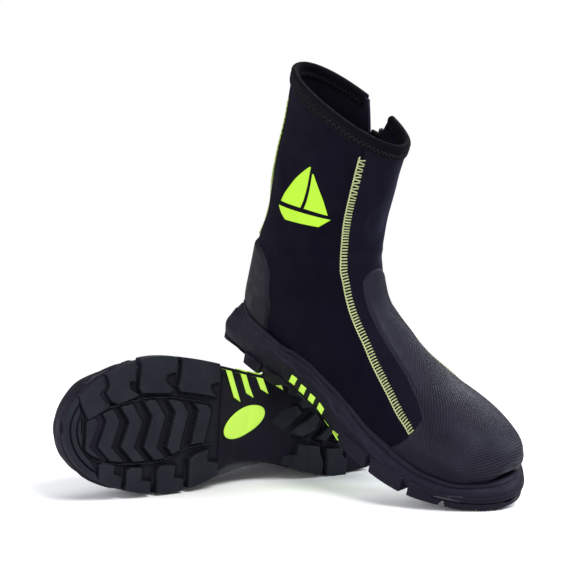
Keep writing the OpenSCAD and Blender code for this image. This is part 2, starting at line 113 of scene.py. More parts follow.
def along(line, x):
    """Smooth value at x on a line of (x, value) points, which never overshoots them."""
    px, py = np.array(line, float).T
    slope = np.diff(py) / np.diff(px)
    both = slope[:-1] * slope[1:] > 0
    turn = np.zeros(len(px))
    turn[1:-1][both] = 2 * (slope[:-1] * slope[1:])[both] / (slope[:-1] + slope[1:])[both]
    turn[0], turn[-1] = slope[0], slope[-1]
    x = np.clip(x, px[0], px[-1])
    i = np.clip(np.searchsorted(px, x) - 1, 0, len(slope) - 1)
    h = px[i + 1] - px[i]
    f = (x - px[i]) / h
    return (py[i] * (1 + 2 * f) * (1 - f) ** 2 + py[i + 1] * f * f * (3 - 2 * f)
            + h * turn[i] * f * (1 - f) ** 2 - h * turn[i + 1] * f * f * (1 - f))


def section(v):
    """Interpolated row of SECTIONS at v."""
    x = np.maximum(v, 0) * LAST
    i = np.minimum(np.floor(x).astype(int), LAST - 1)
    f = (x - i)[..., None]
    b, c = SECTIONS[i], SECTIONS[i + 1]
    a = np.where(i[..., None] > 0, SECTIONS[np.maximum(i - 1, 0)], 2 * b - c)
    d = np.where(i[..., None] < LAST - 1, SECTIONS[np.minimum(i + 2, LAST)], 2 * c - b)
    return 0.5 * (2 * b + (c - a) * f + (2 * a - 5 * b + 4 * c - d) * f**2 + (3 * b - a - 3 * c + d) * f**3)


def spow(a, n):
    return np.sign(a) * np.abs(a) ** (2 / n)


GIVE = {"table": None}


def give(u, v):
    """Outward movement of the neoprene at (u, v), from the cloth simulation."""
    if GIVE["table"] is None:
        return 0.0
    rows, cols = GIVE["table"].shape
    x = np.clip((v - GIVE_FROM) / (1 - GIVE_FROM), 0, 1) * (rows - 1)
    y = np.mod(u, 360) / 360 * cols
    i, j = np.minimum(x.astype(int), rows - 2), y.astype(int) % cols
    f, g = x - i, y - np.floor(y)
    k = (j + 1) % cols
    t = GIVE["table"]
    return (t[i, j] * (1 - f) * (1 - g) + t[i + 1, j] * f * (1 - g) + t[i, k] * (1 - f) * g
            + t[i + 1, k] * f * g)


def skin(u, v, rise=0.0):
    """Point on the sock: u 0 front or top, 90 outer side, 180 back or bottom; rise is millimetres outwards."""
    u, v, rise = np.broadcast_arrays(np.asarray(u, float), np.asarray(v, float), np.asarray(rise, float))
    rise = rise + give(u, v)
    a = np.radians(u)
    cos, sin = np.cos(a), np.sin(a)
    s = section(v + np.maximum(-rise, 0) * 0.015 * np.maximum(0, 1 - v / 0.14))
    top, low = s[..., 0:2], s[..., 2:4]
    line = (top - low) / np.linalg.norm(top - low, axis=-1, keepdims=True)
    t, b = top + line * rise[..., None], low - line * rise[..., None]
    n = np.where(cos >= 0, s[..., 7], s[..., 8])
    h = s[..., 6] + np.where(cos >= 0, 1 - s[..., 6], s[..., 6]) * spow(cos, n)
    p = b + (t - b) * h[..., None]
    nose = np.maximum(rise, 0) * np.maximum(0, 1 - v / 0.1)
    return np.stack([s[..., 5] + (s[..., 4] + rise) * spow(sin, n), p[..., 0] + nose, p[..., 1]], -1)


def unit(a):
    return a / (np.linalg.norm(a, axis=-1, keepdims=True) + 1e-12)


def skin_normal(u, v):
    return unit(skin(u, v, 1.0) - skin(u, v, 0.0))


# Arc lengths over the sock, used as texture coordinates: S across from the front line, T up from the toe.
ARC_U = np.arange(-180, 361, 4.0)
ARC_V = np.linspace(0, 1.05, 180)
ARC = skin(ARC_U[:, None], ARC_V[None, :])
ARC_S = np.concatenate([np.zeros((1, len(ARC_V))), np.cumsum(np.linalg.norm(np.diff(ARC, axis=0), axis=-1), 0)])
ARC_S -= ARC_S[45]
ARC_T = np.concatenate([np.zeros((len(ARC_U), 1)), np.cumsum(np.linalg.norm(np.diff(ARC, axis=1), axis=-1), 1)], 1)


def lookup(table, u, v):
    """Bilinear value of an arc table at (u, v)."""
    x = np.clip((u + 180) / 4, 0, len(ARC_U) - 1.001)
    y = np.clip(v / ARC_V[-1], 0, 1) * (len(ARC_V) - 1.001)
    i, j = x.astype(int), y.astype(int)
    f, g = x - i, y - j
    return (table[i, j] * (1 - f) * (1 - g) + table[i + 1, j] * f * (1 - g) + table[i, j + 1] * (1 - f) * g
            + table[i + 1, j + 1] * f * g)


def cloth_uv(u, v):
    """Texture point in centimetres."""
    return np.stack([lookup(ARC_S, u, v), lookup(ARC_T, u, v)], -1) / 10


# ---- Mesh helpers ------------------------------------------------------------------------------------


class Part:
    """Points in boot millimetres with texture points, and faces with material numbers."""

    def __init__(self):
        self.points, self.uv, self.faces, self.mats, self.count = [], [], [], [], 0
        # zone is a second texture map: pattern shares on the toe cap, and the painted shade of the grooves on the
        # tread.
        self.zone = None

    def add(self, points, faces, uv=None, mat=0):
        points = np.reshape(points, (-1, 3))
        uv = points[:, :2] / 10 if uv is None else np.reshape(uv, (-1, 2))
        self.points.append(points)
        self.uv.append(uv)
        self.faces += [[i + self.count for i in f] for f in faces]
        self.mats += [mat] * len(faces) if np.isscalar(mat) else list(mat)
        self.count += len(points)

    def shell(self, top, low, faces, uv=None, mats=(0, 0, 0)):
        """Closed solid from an open sheet of faces at two heights; mats are those of top, underside and rim."""
        k = len(top)
        rim = [[b, a, a + k, b + k] for a, b in open_edges(faces)]
        under = [[i + k for i in reversed(f)] for f in faces]
        mat = [mats[0]] * len(faces) + [mats[1]] * len(under) + [mats[2]] * len(rim)
        self.add(np.concatenate([top, low]), faces + under + rim, None if uv is None else np.concatenate([uv, uv]), mat)

    def tube(self, path, normal, wide, high, sides=6, mat=0):
        """Thread along a path: wide across the surface, high along its normal, drawn in at both ends."""
        tangent = unit(np.gradient(path, axis=0))
        across = unit(np.cross(tangent, normal))
        n = len(path)
        turn = np.arange(sides) * 2 * math.pi / sides
        taper = np.ones(n)
        taper[0] = taper[-1] = 0.35
        ring = (path[:, None] + taper[:, None, None] * (wide * np.cos(turn)[None, :, None] * across[:, None]
                                                        + high * np.sin(turn)[None, :, None] * normal[:, None]))
        run = np.concatenate([[0], np.cumsum(np.linalg.norm(np.diff(path, axis=0), axis=1))])
        uv = np.stack(np.broadcast_arrays(run[:, None], turn[None, :] * wide), -1) / 10
        faces = []
        for i in range(n - 1):
            for j in range(sides):
                m = (j + 1) % sides
                faces.append([i * sides + j, (i + 1) * sides + j, (i + 1) * sides + m, i * sides + m])
        faces.append(list(range(sides)))
        faces.append([(n - 1) * sides + j for j in reversed(range(sides))])
        self.add(ring, faces, uv, mat)


def open_edges(faces):
    """Directed edges that only one face uses."""
    used = {(f[i - 1], f[i]) for f in faces for i in range(len(f))}
    return [(a, b) for a, b in used if (b, a) not in used]


def grid_faces(rows, cols, wrap=False, closed=False):
    """Quads of a grid; wrap joins the last column to the first, closed the last row to the first."""
    i, j = np.meshgrid(np.arange(rows if closed else rows - 1), np.arange(cols if wrap else cols - 1), indexing="ij")
    i, j = i.ravel(), j.ravel()
    n, m = (i + 1) % rows, (j + 1) % cols
    return np.stack([i * cols + j, i * cols + m, n * cols + m, n * cols + j], 1).tolist()


def rim_distance(points, faces):
    """Distance of every point to the nearest point on the open rim."""
    rim = sorted({i for edge in open_edges(faces) for i in edge})
    tree = KDTree(len(rim))
    for i in rim:
        tree.insert(points[i], i)
    tree.balance()
    return np.array([tree.find(p)[2] for p in points])


def cover(part, u, v, top, low, drop=0.0, reach=1.0, mats=(0, 0, 0), faces=None, wrap=False, shape=0.0):
    """Layer over the sock from height low to height top, whose rim falls by drop within reach."""
    u, v = np.broadcast_arrays(u, v)
    faces = faces or grid_faces(*u.shape, wrap)
    u, v = u.ravel(), v.ravel()
    fall = drop * np.exp(-((rim_distance(skin(u, v), faces) / reach) ** 2)) if drop else 0.0
    high = top - fall + np.ravel(shape)
    part.shell(skin(u, v, high), skin(u, v, low), faces, cloth_uv(u, v), mats)


def crowded(n):
    """n values from 0 to 1 that lie closer together at both ends."""
    t = np.linspace(0, 1, n)
    return 0.45 * t + 0.55 * (1 - np.cos(math.pi * t)) / 2


def between(edge0, edge1, v, cols):
    """u grid that runs from one edge line to another along each row of v."""
    return along(edge0, v)[:, None] * (1 - crowded(cols)) + along(edge1, v)[:, None] * crowded(cols)


def moved(line, by):
    return [(x, y + by) for x, y in line]


MATERIALS = {}


def build(name, part, looks, nodes=(), body="boot", smooth=40, loose=0.0):
    """Makes one object per boot from a part, gives it its body and material slots, and hides the CAD nodes it stands in
    for.
    """
    points, uv = np.concatenate(part.points), np.concatenate(part.uv)
    for side, (turn, at) in SIDES.items():
        mesh = bpy.data.meshes.new(f"{side}_{name}")
        mesh.from_pydata((points @ turn.T + at).tolist(), [], part.faces)
        layer = mesh.uv_layers.new(name="UVMap")
        index = np.empty(len(mesh.loops), int)
        mesh.loops.foreach_get("vertex_index", index)
        layer.data.foreach_set("uv", uv[index].ravel())
        if part.zone is not None:
            mesh.uv_layers.new(name="Zone").data.foreach_set("uv", part.zone[index].ravel())
        mesh.polygons.foreach_set("material_index", np.array(part.mats, int))
        shell = bmesh.new()
        shell.from_mesh(mesh)
        if loose:
            bmesh.ops.remove_doubles(shell, verts=shell.verts, dist=loose)
        bmesh.ops.recalc_face_normals(shell, faces=shell.faces)
        shell.to_mesh(mesh)
        shell.free()
        mesh.polygons.foreach_set("use_smooth", np.ones(len(mesh.polygons), bool))
        mesh.set_sharp_from_angle(angle=math.radians(smooth))
        obj = bpy.data.objects.new(f"{side}_{name}_look", mesh)
        bpy.context.scene.collection.objects.link(obj)
        for look in looks:
            mesh.materials.append(MATERIALS[look])
        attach(obj, f"{side}_{body}")
        if nodes:
            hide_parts(*[f"{side}_{n}" for n in nodes])


# ---- Materials ---------------------------------------------------------------------------------------


PIP_PITCH = 2.0
COOL = (0.74, 0.7, 1.0, 1)  # tint of the reflections on the dark pieces


class Look:
    """One material: a Principled shader with helpers for the nodes that drive it."""

    def __init__(self, name, colour, rough, specular=0.3, sheen=0.0, metal=0.0, glow=0.0):
        self.mat = bpy.data.materials.new(name)
        self.mat.use_nodes = True
        self.tree = self.mat.node_tree
        self.shader = self.tree.nodes["Principled BSDF"]
        self.set("Base Color", (*colour, 1))
        self.set("Roughness", rough)
        self.set("Specular IOR Level", specular)
        self.set("Metallic", metal)
        self.set("Sheen Weight", sheen)
        self.set("Sheen Roughness", 0.5)
        self.set("Specular Tint", COOL)
        # glow is painted light: the surface emits its own colour though it is no lamp.
        self.set("Emission Color", (*colour, 1))
        self.set("Emission Strength", glow)
        self.colour = (*colour, 1)
        MATERIALS[name] = self.mat

    def set(self, socket, value):
        self.shader.inputs[socket].default_value = value

    def node(self, kind, **inputs):
        """New node with its sockets set or linked by name; a trailing number picks a socket by index."""
        made = self.tree.nodes.new(kind)
        for key, value in inputs.items():
            socket = made.inputs[int(key[1:])] if key[0] == "i" and key[1:].isdigit() else made.inputs[key]
            if isinstance(value, bpy.types.NodeSocket):
                self.tree.links.new(value, socket)
            else:
                socket.default_value = value
        return made

    def link(self, value, socket):
        self.tree.links.new(value, self.shader.inputs[socket])

    def calc(self, operation, a, b=0.0, c=0.0):
        made = self.node("ShaderNodeMath", i0=a, i1=b, i2=c)
        made.operation = operation
        return made.outputs[0]

    def uv(self):
        """Texture point in centimetres, as two sockets and as a vector."""
        point = self.node("ShaderNodeUVMap").outputs[0]
        split = self.node("ShaderNodeSeparateXYZ", i0=point)
        return split.outputs[0], split.outputs[1], point

    def noise(self, size_mm, detail=3.0, rough=0.5, where=None):
        """Noise with features of the given size in millimetres, in world space unless told otherwise."""
        scale = 1000 / size_mm if where is None else 10 / size_mm
        where = where or self.node("ShaderNodeTexCoord").outputs["Object"]
        return self.node("ShaderNodeTexNoise", Vector=where, Scale=scale, Detail=detail, Roughness=rough).outputs[0]

    def wave(self, run, pitch_mm):
        """Sine of a texture coordinate in centimetres."""
        return self.calc("SINE", self.calc("MULTIPLY", run, 20 * math.pi / pitch_mm))

    def span(self, value, low, high, to_low, to_high):
        """Value mapped from one range to another and clamped."""
        return self.node("ShaderNodeMapRange", i0=value, i1=low, i2=high, i3=to_low, i4=to_high).outputs[0]

    def edge_wear_and_highlight(self):
        """1 on sharp outer edges, 0 elsewhere, broken up by noise: real wear on the metal, a painted highlight on the
        rubber.
        """
        edge = self.span(self.node("ShaderNodeNewGeometry").outputs["Pointiness"], 0.52, 0.6, 0, 1)
        return self.calc("MULTIPLY", edge, self.span(self.noise(5), 0.35, 0.65, 0.3, 1))

    def tint(self, value, other, amount=1.0):
        """Mixes the base colour with another by a 0 to 1 value."""
        mix = self.node("ShaderNodeMix")
        mix.data_type = "RGBA"
        base = self.shader.inputs["Base Color"]
        if base.links:
            self.tree.links.new(base.links[0].from_socket, mix.inputs[6])
        else:
            mix.inputs[6].default_value = self.colour
        mix.inputs[7].default_value = (*other, 1)
        self.tree.links.new(self.calc("MULTIPLY", value, amount), mix.inputs[0])
        self.tree.links.new(mix.outputs[2], base)

    def bump(self, height, depth_mm, strength=1.0):
        """Adds a bump of the given depth on top of those already there."""
        made = self.node("ShaderNodeBump", Height=height, Distance=depth_mm / 1000, Strength=strength)
        normal = self.shader.inputs["Normal"]
        if normal.links:
            self.tree.links.new(normal.links[0].from_socket, made.inputs["Normal"])
        self.tree.links.new(made.outputs[0], normal)


def knit(name, colour, light, sheen):
    """Nylon jersey laminated on neoprene: fine wales and courses, faint clouds and a little fuzz."""
    look = Look(name, colour, 0.82, specular=0.13, sheen=sheen)
    look.shader.inputs["Sheen Tint"].default_value = (0.5, 0.48, 0.9, 1)
    s, t, point = look.uv()
    wales = look.wave(s, 0.9)
    courses = look.wave(look.calc("ADD", t, look.calc("MULTIPLY", wales, 0.01)), 0.7)
    weave = look.calc("MULTIPLY", wales, courses)
    fuzz = look.noise(0.5, 2, where=point)
    look.tint(look.span(look.noise(38, 4, 0.6), 0.3, 0.75, 0, 1), light, 0.55)
    look.tint(look.span(fuzz, 0.55, 0.8, 0, 1), light, 0.5)
    look.link(look.span(look.noise(20), 0.3, 0.7, 0.76, 0.9), "Roughness")
    look.bump(look.noise(30, 3), 1.2, 0.5)
    look.bump(look.calc("MULTIPLY", weave, 0.5), 0.12, 0.5)
    look.bump(fuzz, 0.15, 0.5)


def rubber(name, colour, light, rough, grain=0.5, painted_channel_shade=False):
    """Moulded rubber: fine grain, cloudy bloom, sharp edges painted paler as a highlight, and on the tread painted
    shade in the grooves.
    """
    look = Look(name, colour, rough, specular=0.3)
    look.tint(look.span(look.noise(26, 5, 0.6), 0.35, 0.7, 0, 1), light, 0.5)
    # Painted highlight: sharp edges are tinted paler.
    look.tint(look.edge_wear_and_highlight(), light, 0.8)
    if painted_channel_shade:
        # Painted shade: where the Zone map is low, the tread's grooves are darkened almost to black, as if unlit.
        zone = look.node("ShaderNodeUVMap")
        zone.uv_map = "Zone"
        depth = look.node("ShaderNodeSeparateXYZ", i0=zone.outputs[0]).outputs[0]
        look.tint(look.calc("SUBTRACT", 1.0, depth), tuple(c * 0.15 for c in colour), 0.95)
    look.link(look.span(look.noise(9, 4), 0.3, 0.7, rough - 0.08, rough + 0.1), "Roughness")
    look.bump(look.noise(0.9, 3), 0.10 * grain, 0.7)
    look.bump(look.noise(12, 3), 0.6 * grain, 0.5)


def thread(name, colour, light):
    """Twisted polyester thread, with a painted glow: it emits a little of its own colour though it is no lamp."""
    look = Look(name, colour, 0.6, specular=0.2, sheen=0.1, glow=0.18 * colour[1])
    s, t, _ = look.uv()
    ply = look.wave(look.calc("ADD", s, look.calc("MULTIPLY", t, 2.0)), 1.1)
    look.tint(look.span(ply, -1, 1, 0, 1), light, 0.7)
    look.tint(look.span(look.noise(2.5), 0.4, 0.7, 0, 1), tuple(c * 0.6 for c in colour), 0.5)
    look.bump(ply, 0.25, 0.8)


def ribbed(name, colour, light, pitch, depth, rough=0.75):
    """Woven tape with ribs across its run."""
    look = Look(name, colour, rough, specular=0.12, sheen=0.03)
    s, t, point = look.uv()
    ribs = look.calc("MULTIPLY", look.wave(look.calc("ADD", s, t), pitch), look.wave(look.calc("SUBTRACT", s, t), pitch))
    look.tint(look.span(ribs, 0, 1, 0, 1), light, 0.6)
    look.tint(look.span(look.noise(14, 3), 0.4, 0.7, 0, 1), light, 0.4)
    look.bump(ribs, depth, 0.8)
    look.bump(look.noise(0.6, 2), 0.1, 0.5)


def toe_grip():
    """Toe cap rubber: staggered pips that turn to ribs at the tip, their raised tops painted paler as a highlight; the
    Zone map holds the share of each.
    """
    look = Look("toe_rubber", (0.0020, 0.0020, 0.0045), 0.34, specular=0.42)
    s, t, point = look.uv()
    zone = look.node("ShaderNodeUVMap")
    zone.uv_map = "Zone"
    zones = look.node("ShaderNodeSeparateXYZ", i0=zone.outputs[0])
    across, upward = look.wave(s, PIP_PITCH), look.wave(t, PIP_PITCH)
    pips = look.span(look.calc("MULTIPLY", across, upward), 0.05, 0.7, 0, 1)
    ribs = look.span(upward, 0.0, 0.8, 0, 0.6)
    grip = look.calc("ADD", look.calc("MULTIPLY", pips, zones.outputs[0]),
                     look.calc("MULTIPLY", ribs, zones.outputs[1]))
    look.tint(look.span(look.noise(35, 4, 0.6), 0.35, 0.7, 0, 1), (0.006, 0.006, 0.011), 0.8)
    # Painted highlight: the raised pips and ribs are tinted paler, as sheen on their tops.
    look.tint(grip, (0.030, 0.031, 0.047), 0.9)
    rub = look.span(look.noise(7), 0.3, 0.7, -0.06, 0.08)
    look.link(look.calc("ADD", look.span(grip, 0, 1, 0.52, 0.36), rub), "Roughness")
    look.bump(grip, 0.35, 1.0)
    look.bump(look.noise(0.8, 2), 0.05, 0.5)


def lime(name, colour, rough, grain, glow):
    """Lime film or moulded lime rubber with faint rub marks and a painted glow: it emits its own colour though it is no
    lamp.
    """
    look = Look(name, colour, rough, specular=0.25, glow=glow)
    dark = tuple(c * 0.8 for c in colour)
    look.tint(look.span(look.noise(6, 4, 0.6), 0.4, 0.75, 0, 1), dark, 0.35)
    look.tint(look.span(look.noise(0.8, 2), 0.55, 0.7, 0, 1), dark, 0.3)
    look.bump(look.noise(0.7, 3), grain, 0.6)


def foam(name, colour, light):
    """Closed cell foam."""
    look = Look(name, colour, 0.8, specular=0.25)
    cells = look.node("ShaderNodeTexVoronoi", Vector=look.node("ShaderNodeTexCoord").outputs["Object"],
                      Scale=1400).outputs[0]
    look.tint(look.span(cells, 0, 0.7, 1, 0), light, 0.6)
    look.tint(look.span(look.noise(20, 3), 0.4, 0.7, 0, 1), light, 0.4)
    look.bump(cells, 0.2, 0.6)


def metal(name, colour):
    """Painted zinc casting, rubbed on its edges."""
    look = Look(name, colour, 0.38, specular=0.5, metal=0.85)
    look.tint(look.edge_wear_and_highlight(), (0.35, 0.35, 0.37), 0.8)
    look.link(look.span(look.noise(3, 4), 0.3, 0.7, 0.28, 0.5), "Roughness")
    look.bump(look.noise(0.6, 3), 0.05, 0.5)


knit("neoprene", (0.0026, 0.0017, 0.0062), (0.0062, 0.0048, 0.0125), 0.03)
knit("front_neoprene", (0.0046, 0.0042, 0.0095), (0.010, 0.0095, 0.020), 0.10)
knit("lining", (0.006, 0.005, 0.009), (0.016, 0.014, 0.022), 0.25)
ribbed("binding_tape", (0.0012, 0.0010, 0.0024), (0.003, 0.0027, 0.005), 1.2, 0.14)
ribbed("zip_tape", (0.006, 0.006, 0.009), (0.018, 0.018, 0.024), 1.0, 0.18)
thread("seam_thread", (0.72, 0.82, 0.36), (0.93, 0.98, 0.62))
thread("lime_thread", (0.60, 0.86, 0.12), (0.80, 0.95, 0.30))
thread("black_thread", (0.006, 0.005, 0.009), (0.016, 0.014, 0.022))
toe_grip()
rubber("heel_rubber", (0.0095, 0.009, 0.012), (0.020, 0.019, 0.024), 0.6)
rubber("rand_rubber", (0.0078, 0.0066, 0.0130), (0.018, 0.016, 0.027), 0.55)
rubber("tread_rubber", (0.0150, 0.0180, 0.0230), (0.034, 0.040, 0.048), 0.5, 1.0, painted_channel_shade=True)
# The last number of each lime look is its painted glow.
lime("lime_print", (0.50, 0.87, 0.035), 0.45, 0.05, 0.25)
lime("lime_rubber", (0.60, 0.95, 0.11), 0.5, 0.12, 0.36)
foam("midsole_foam", (0.06, 0.062, 0.07), (0.11, 0.112, 0.12))
foam("footbed_foam", (0.022, 0.024, 0.03), (0.05, 0.052, 0.06))
rubber("zip_plastic", (0.012, 0.012, 0.016), (0.03, 0.03, 0.036), 0.42, 0.4)
metal("slider_metal", (0.05, 0.05, 0.056))
ribbed("pull_cord", (0.42, 0.80, 0.06), (0.60, 0.92, 0.20), 1.4, 0.2)

# ---- Cloth: how the neoprene gives ----------------------------------------------------------------------

GIVE_FROM = 0.2
GIVE_CAP = 1.5
CLOTH_ROWS = 76
CLOTH_COLS = 72


def hold(u, v):
    """1 where glued rubber, seams or the bound collar keep the neoprene in place, 0 where it is free."""
    foot = np.clip((0.36 - v) / 0.08, 0, 1)
    collar = np.clip((v - 0.9) / 0.06, 0, 1)
    back = np.abs(np.mod(u, 360) - 180)
    heel = np.clip((95 - back) / 25, 0, 1) * np.clip((0.76 - v) / 0.04, 0, 1) * np.clip((v - 0.36) / 0.06, 0, 1)
    turn = np.abs(np.mod(u + 180, 360) - 180)
    tongue = np.clip((34 - turn) / 12, 0, 1) * np.clip((0.62 - v) / 0.04, 0, 1)
    return np.clip(np.maximum.reduce([foot + 0 * u, collar + 0 * u, heel, tongue]), 0, 1)


def settle():
    """Cloth simulation of the bare sock: slightly long fabric buckles softly between the parts that hold it."""
    u, v = np.meshgrid(np.arange(CLOTH_COLS) * 360 / CLOTH_COLS, np.linspace(GIVE_FROM, 1, CLOTH_ROWS))
    rest = skin(u, v)
    out = skin_normal(u, v)
    sock = Part()
    a = np.arange(CLOTH_ROWS * CLOTH_COLS).reshape(CLOTH_ROWS, CLOTH_COLS)
    b = np.roll(a, -1, 1)
    quads = np.stack([a[:-1], b[:-1], b[1:], a[1:]], -1).reshape(-1, 4)
    sock.add(rest, quads.tolist())
    mesh = bpy.data.meshes.new("cloth")
    mesh.from_pydata((rest.reshape(-1, 3) / 1000).tolist(), [], sock.faces)
    obj = bpy.data.objects.new("cloth", mesh)
    bpy.context.scene.collection.objects.link(obj)
    pins = obj.vertex_groups.new(name="pins")
    for i, w in enumerate(hold(u, v).ravel()):
        if w > 0.02:
            pins.add([i], float(w), "REPLACE")
    cloth = obj.modifiers.new("Cloth", "CLOTH")
    cloth.settings.vertex_group_mass = "pins"
    cloth.settings.quality = 6
    cloth.settings.mass = 0.4
    cloth.settings.tension_stiffness = cloth.settings.compression_stiffness = 30
    cloth.settings.bending_stiffness = 12
    cloth.settings.shrink_min = -0.035
    cloth.settings.use_pressure = True
    cloth.settings.uniform_pressure_force = 0.6
    cloth.settings.effector_weights.gravity = 0
    cloth.point_cache.frame_start, cloth.point_cache.frame_end = 1, 24
    for step in range(1, 25):
        bpy.context.scene.frame_set(step)
    done = obj.evaluated_get(bpy.context.evaluated_depsgraph_get())
    flat = np.empty(len(mesh.vertices) * 3)
    done.data.vertices.foreach_get("co", flat)
    bpy.data.objects.remove(obj)
    bpy.context.scene.frame_set(1)
    move = ((flat.reshape(rest.shape) * 1000 - rest) * out).sum(-1)
    for _ in range(2):
        move = (move + np.roll(move, 1, 1) + np.roll(move, -1, 1)) / 3
        move[1:-1] = (move[:-2] + move[1:-1] + move[2:]) / 3
    move = GIVE_CAP * np.tanh(move / GIVE_CAP) * (1 - hold(u, v))
    GIVE["table"] = move


settle()


# ---- Neoprene upper ------------------------------------------------------------------------------------

RNG = np.random.default_rng(7)


def panels():
    """The three quarters of the upper, each with its edges rolled into the seams, and the toe box."""
    v = np.linspace(V_TOE, 1, 230)
    for name, edge0, edge1, look in (("front_panel", ZIP_FRONT, FRONT_SEAM, "front_neoprene"),
                                     ("outer_panel", FRONT_SEAM, BACK, "neoprene"),
                                     ("inner_panel", BACK, moved(ZIP_BACK, 360), "neoprene")):
        part = Part()
        cover(part, between(moved(edge0, 0.3), moved(edge1, -0.3), v, 72), v[:, None], 0.0, -WALL, 1.1, 1.9,
              mats=(0, 1, 1))
        build(name, part, (look, "lining"), (name,))
    part = Part()
    u, v = np.meshgrid(np.arange(0, 360, 5.0), np.linspace(0, V_TOE - 0.002, 26))
    cover(part, u, v, -0.4, -WALL, wrap=True, mats=(0, 1, 1))
    build("toe_box", part, ("neoprene", "lining"), ("toe_box",))


def inside():
    """Stretch gusset behind the zip and the footbed."""
    part = Part()
    u, v = np.meshgrid(np.linspace(-96, -62, 46), np.linspace(24 * STEP, 39 * STEP, 90))
    folds = 0.5 * np.sin(np.radians((u + 96) / 34 * 900)) + 0.25 * np.sin(v * 160 + u * 0.12)
    cover(part, u, v, -WALL - 1.0, -WALL - 2.6, 0.6, 2.0, shape=folds)
    build("zip_gusset", part, ("lining",), ("zip_gusset",))
    part = Part()
    v = np.linspace(4 * STEP, 24 * STEP, 90)
    low = [(0, 140), (0.5, 140), (0.62, 165), (1.1, 165)]
    high = [(0, 220), (0.5, 220), (0.62, 195), (1.1, 195)]
    cover(part, between(low, high, v, 40), v[:, None], -WALL - 1.2, -WALL - 5.2, 0.0)
    build("footbed", part, ("footbed_foam",), ("footbed",))


def seam_line(line, v0, v1, pitch):
    """Places along a seam at an even pitch: v, point, direction up the seam, direction across it, outward."""
    v = np.linspace(v0, v1, 900)
    path = skin(along(line, v), v, 0.1)
    run = np.concatenate([[0], np.cumsum(np.linalg.norm(np.diff(path, axis=0), axis=1))])
    count = int(run[-1] / pitch)
    at = np.interp((np.arange(count) + 0.5) * pitch, run, v)
    centre = skin(along(line, at), at, 0.1)
    out = skin_normal(along(line, at), at)
    up = unit(np.gradient(centre, axis=0))
    return at, centre, up, unit(np.cross(up, out)), out


def ladder(name, line, v0, v1, half=3.0, pitch=2.6, look="seam_thread"):
    """Overlock seam: a chain along its rear edge and rungs across, which turn to loops near the collar."""
    part = Part()
    at, centre, up, across, out = seam_line(line, v0, v1, pitch)
    w = np.linspace(-1, 1, 9)
    for i in range(len(at)):
        loose = 0.45 * (1 if i % 2 else -1) if at[i] > 0.88 else 0.0
        slant = (0.12 + loose + RNG.uniform(-0.1, 0.1)) * w * half * 0.5
        reach = half * RNG.uniform(0.93, 1.06)
        rise = 0.62 - 0.75 * np.abs(w) ** 4
        path = (centre[i] + (w * reach)[:, None] * across[i] + rise[:, None] * out[i] + slant[:, None] * up[i])
        part.tube(path, np.repeat(out[i : i + 1], len(w), 0), 0.58, 0.45)
    at, centre, up, across, out = seam_line(line, v0, v1, pitch / 8)
    beat = np.arange(len(at)) * math.pi / 4
    edge = -half + 0.25 * np.sin(beat)
    path = centre + edge[:, None] * across + (0.42 + 0.16 * np.cos(beat))[:, None] * out
    part.tube(path, out, 0.58, 0.46)
    build(name, part, (look,), (name,), smooth=60)


BIND_DROP = 9.5
BIND_FROM = -66
BIND_SWEEP = 332


def rim_scale(u):
    """Share of v that is one millimetre at the collar, at angle u."""
    return 0.02 / np.linalg.norm(skin(u, 1.0) - skin(u, 0.98), axis=-1)


def binding():
    """Tape folded over the collar, drawn in where the zigzag holds it, and the zigzag inside and outside."""
    u = BIND_FROM + np.linspace(0, BIND_SWEEP, 420)
    out = 0.7
    leg = np.linspace(-BIND_DROP, 0, 26)
    bend = np.radians(np.linspace(0, 180, 15))[1:-1]
    radius = WALL / 2 + out
    a = np.concatenate([leg, radius * np.sin(bend), leg[::-1]])
    h = np.concatenate([np.full(26, out), radius * np.cos(bend) - WALL / 2, np.full(26, -WALL - out)])
    na = np.concatenate([np.zeros(26), np.sin(bend), np.zeros(26)])
    nh = np.concatenate([np.ones(26), np.cos(bend), -np.ones(26)])
    part = Part()
    scale = rim_scale(u)[:, None]
    run = lookup(ARC_S, u, np.ones_like(u))[:, None]
    drawn = 0.38 * np.exp(-(((a + 5.2) / 2.0) ** 2)) * (1 + 0.5 * np.sin(run * 2 * math.pi / 4.4))
    edge = np.clip((a + BIND_DROP) / 0.8, 0, 1) ** 0.5
    half = 0.62 * (0.25 + 0.75 * edge)
    grids = []
    for side in (1, -1):
        lift = half * side - (drawn if side > 0 else 0)
        grids.append(skin(u[:, None], 1 + (a + na * lift) * scale, h + nh * lift))
    shape = grids[0].shape[:2]
    length = np.concatenate([[0], np.cumsum(np.hypot(np.diff(a), np.diff(h)))])
    uv = np.stack(np.broadcast_arrays(run, length[None, :]), -1) / 10
    part.shell(grids[0].reshape(-1, 3), grids[1].reshape(-1, 3), grid_faces(*shape), uv.reshape(-1, 2))
    for rise, face in ((out + 0.75, 1), (-WALL - out - 0.75, -1)):
        corners = BIND_FROM + 1.5 + np.linspace(0, BIND_SWEEP - 3, 152)
        high = np.where(np.arange(152) % 2, -3.4, -7.2)
        fine = np.linspace(0, 151, 151 * 5 + 1)
        uu, aa = np.interp(fine, np.arange(152), corners), np.interp(fine, np.arange(152), high)
        dip = 0.32 * np.exp(-(((aa + 5.2) / 2.0) ** 2)) if face > 0 else 0 * aa
        path = skin(uu, 1 + aa * rim_scale(uu), rise - face * dip)
        part.tube(path, face * skin_normal(uu, np.ones_like(uu) * 0.98), 0.38, 0.3, 5, mat=1)
    build("collar_binding", part, ("binding_tape", "black_thread"), ("collar_binding",), smooth=60)


# ---- Rubber overlays and print -----------------------------------------------------------------------------

OVERLAY_TOP = 2.1


def toe_swell(v):
    """Extra height of the toe rubber, which is thickest round the tip."""
    return 2.6 * np.clip(1 - v / 0.13, 0, 1) ** 1.5


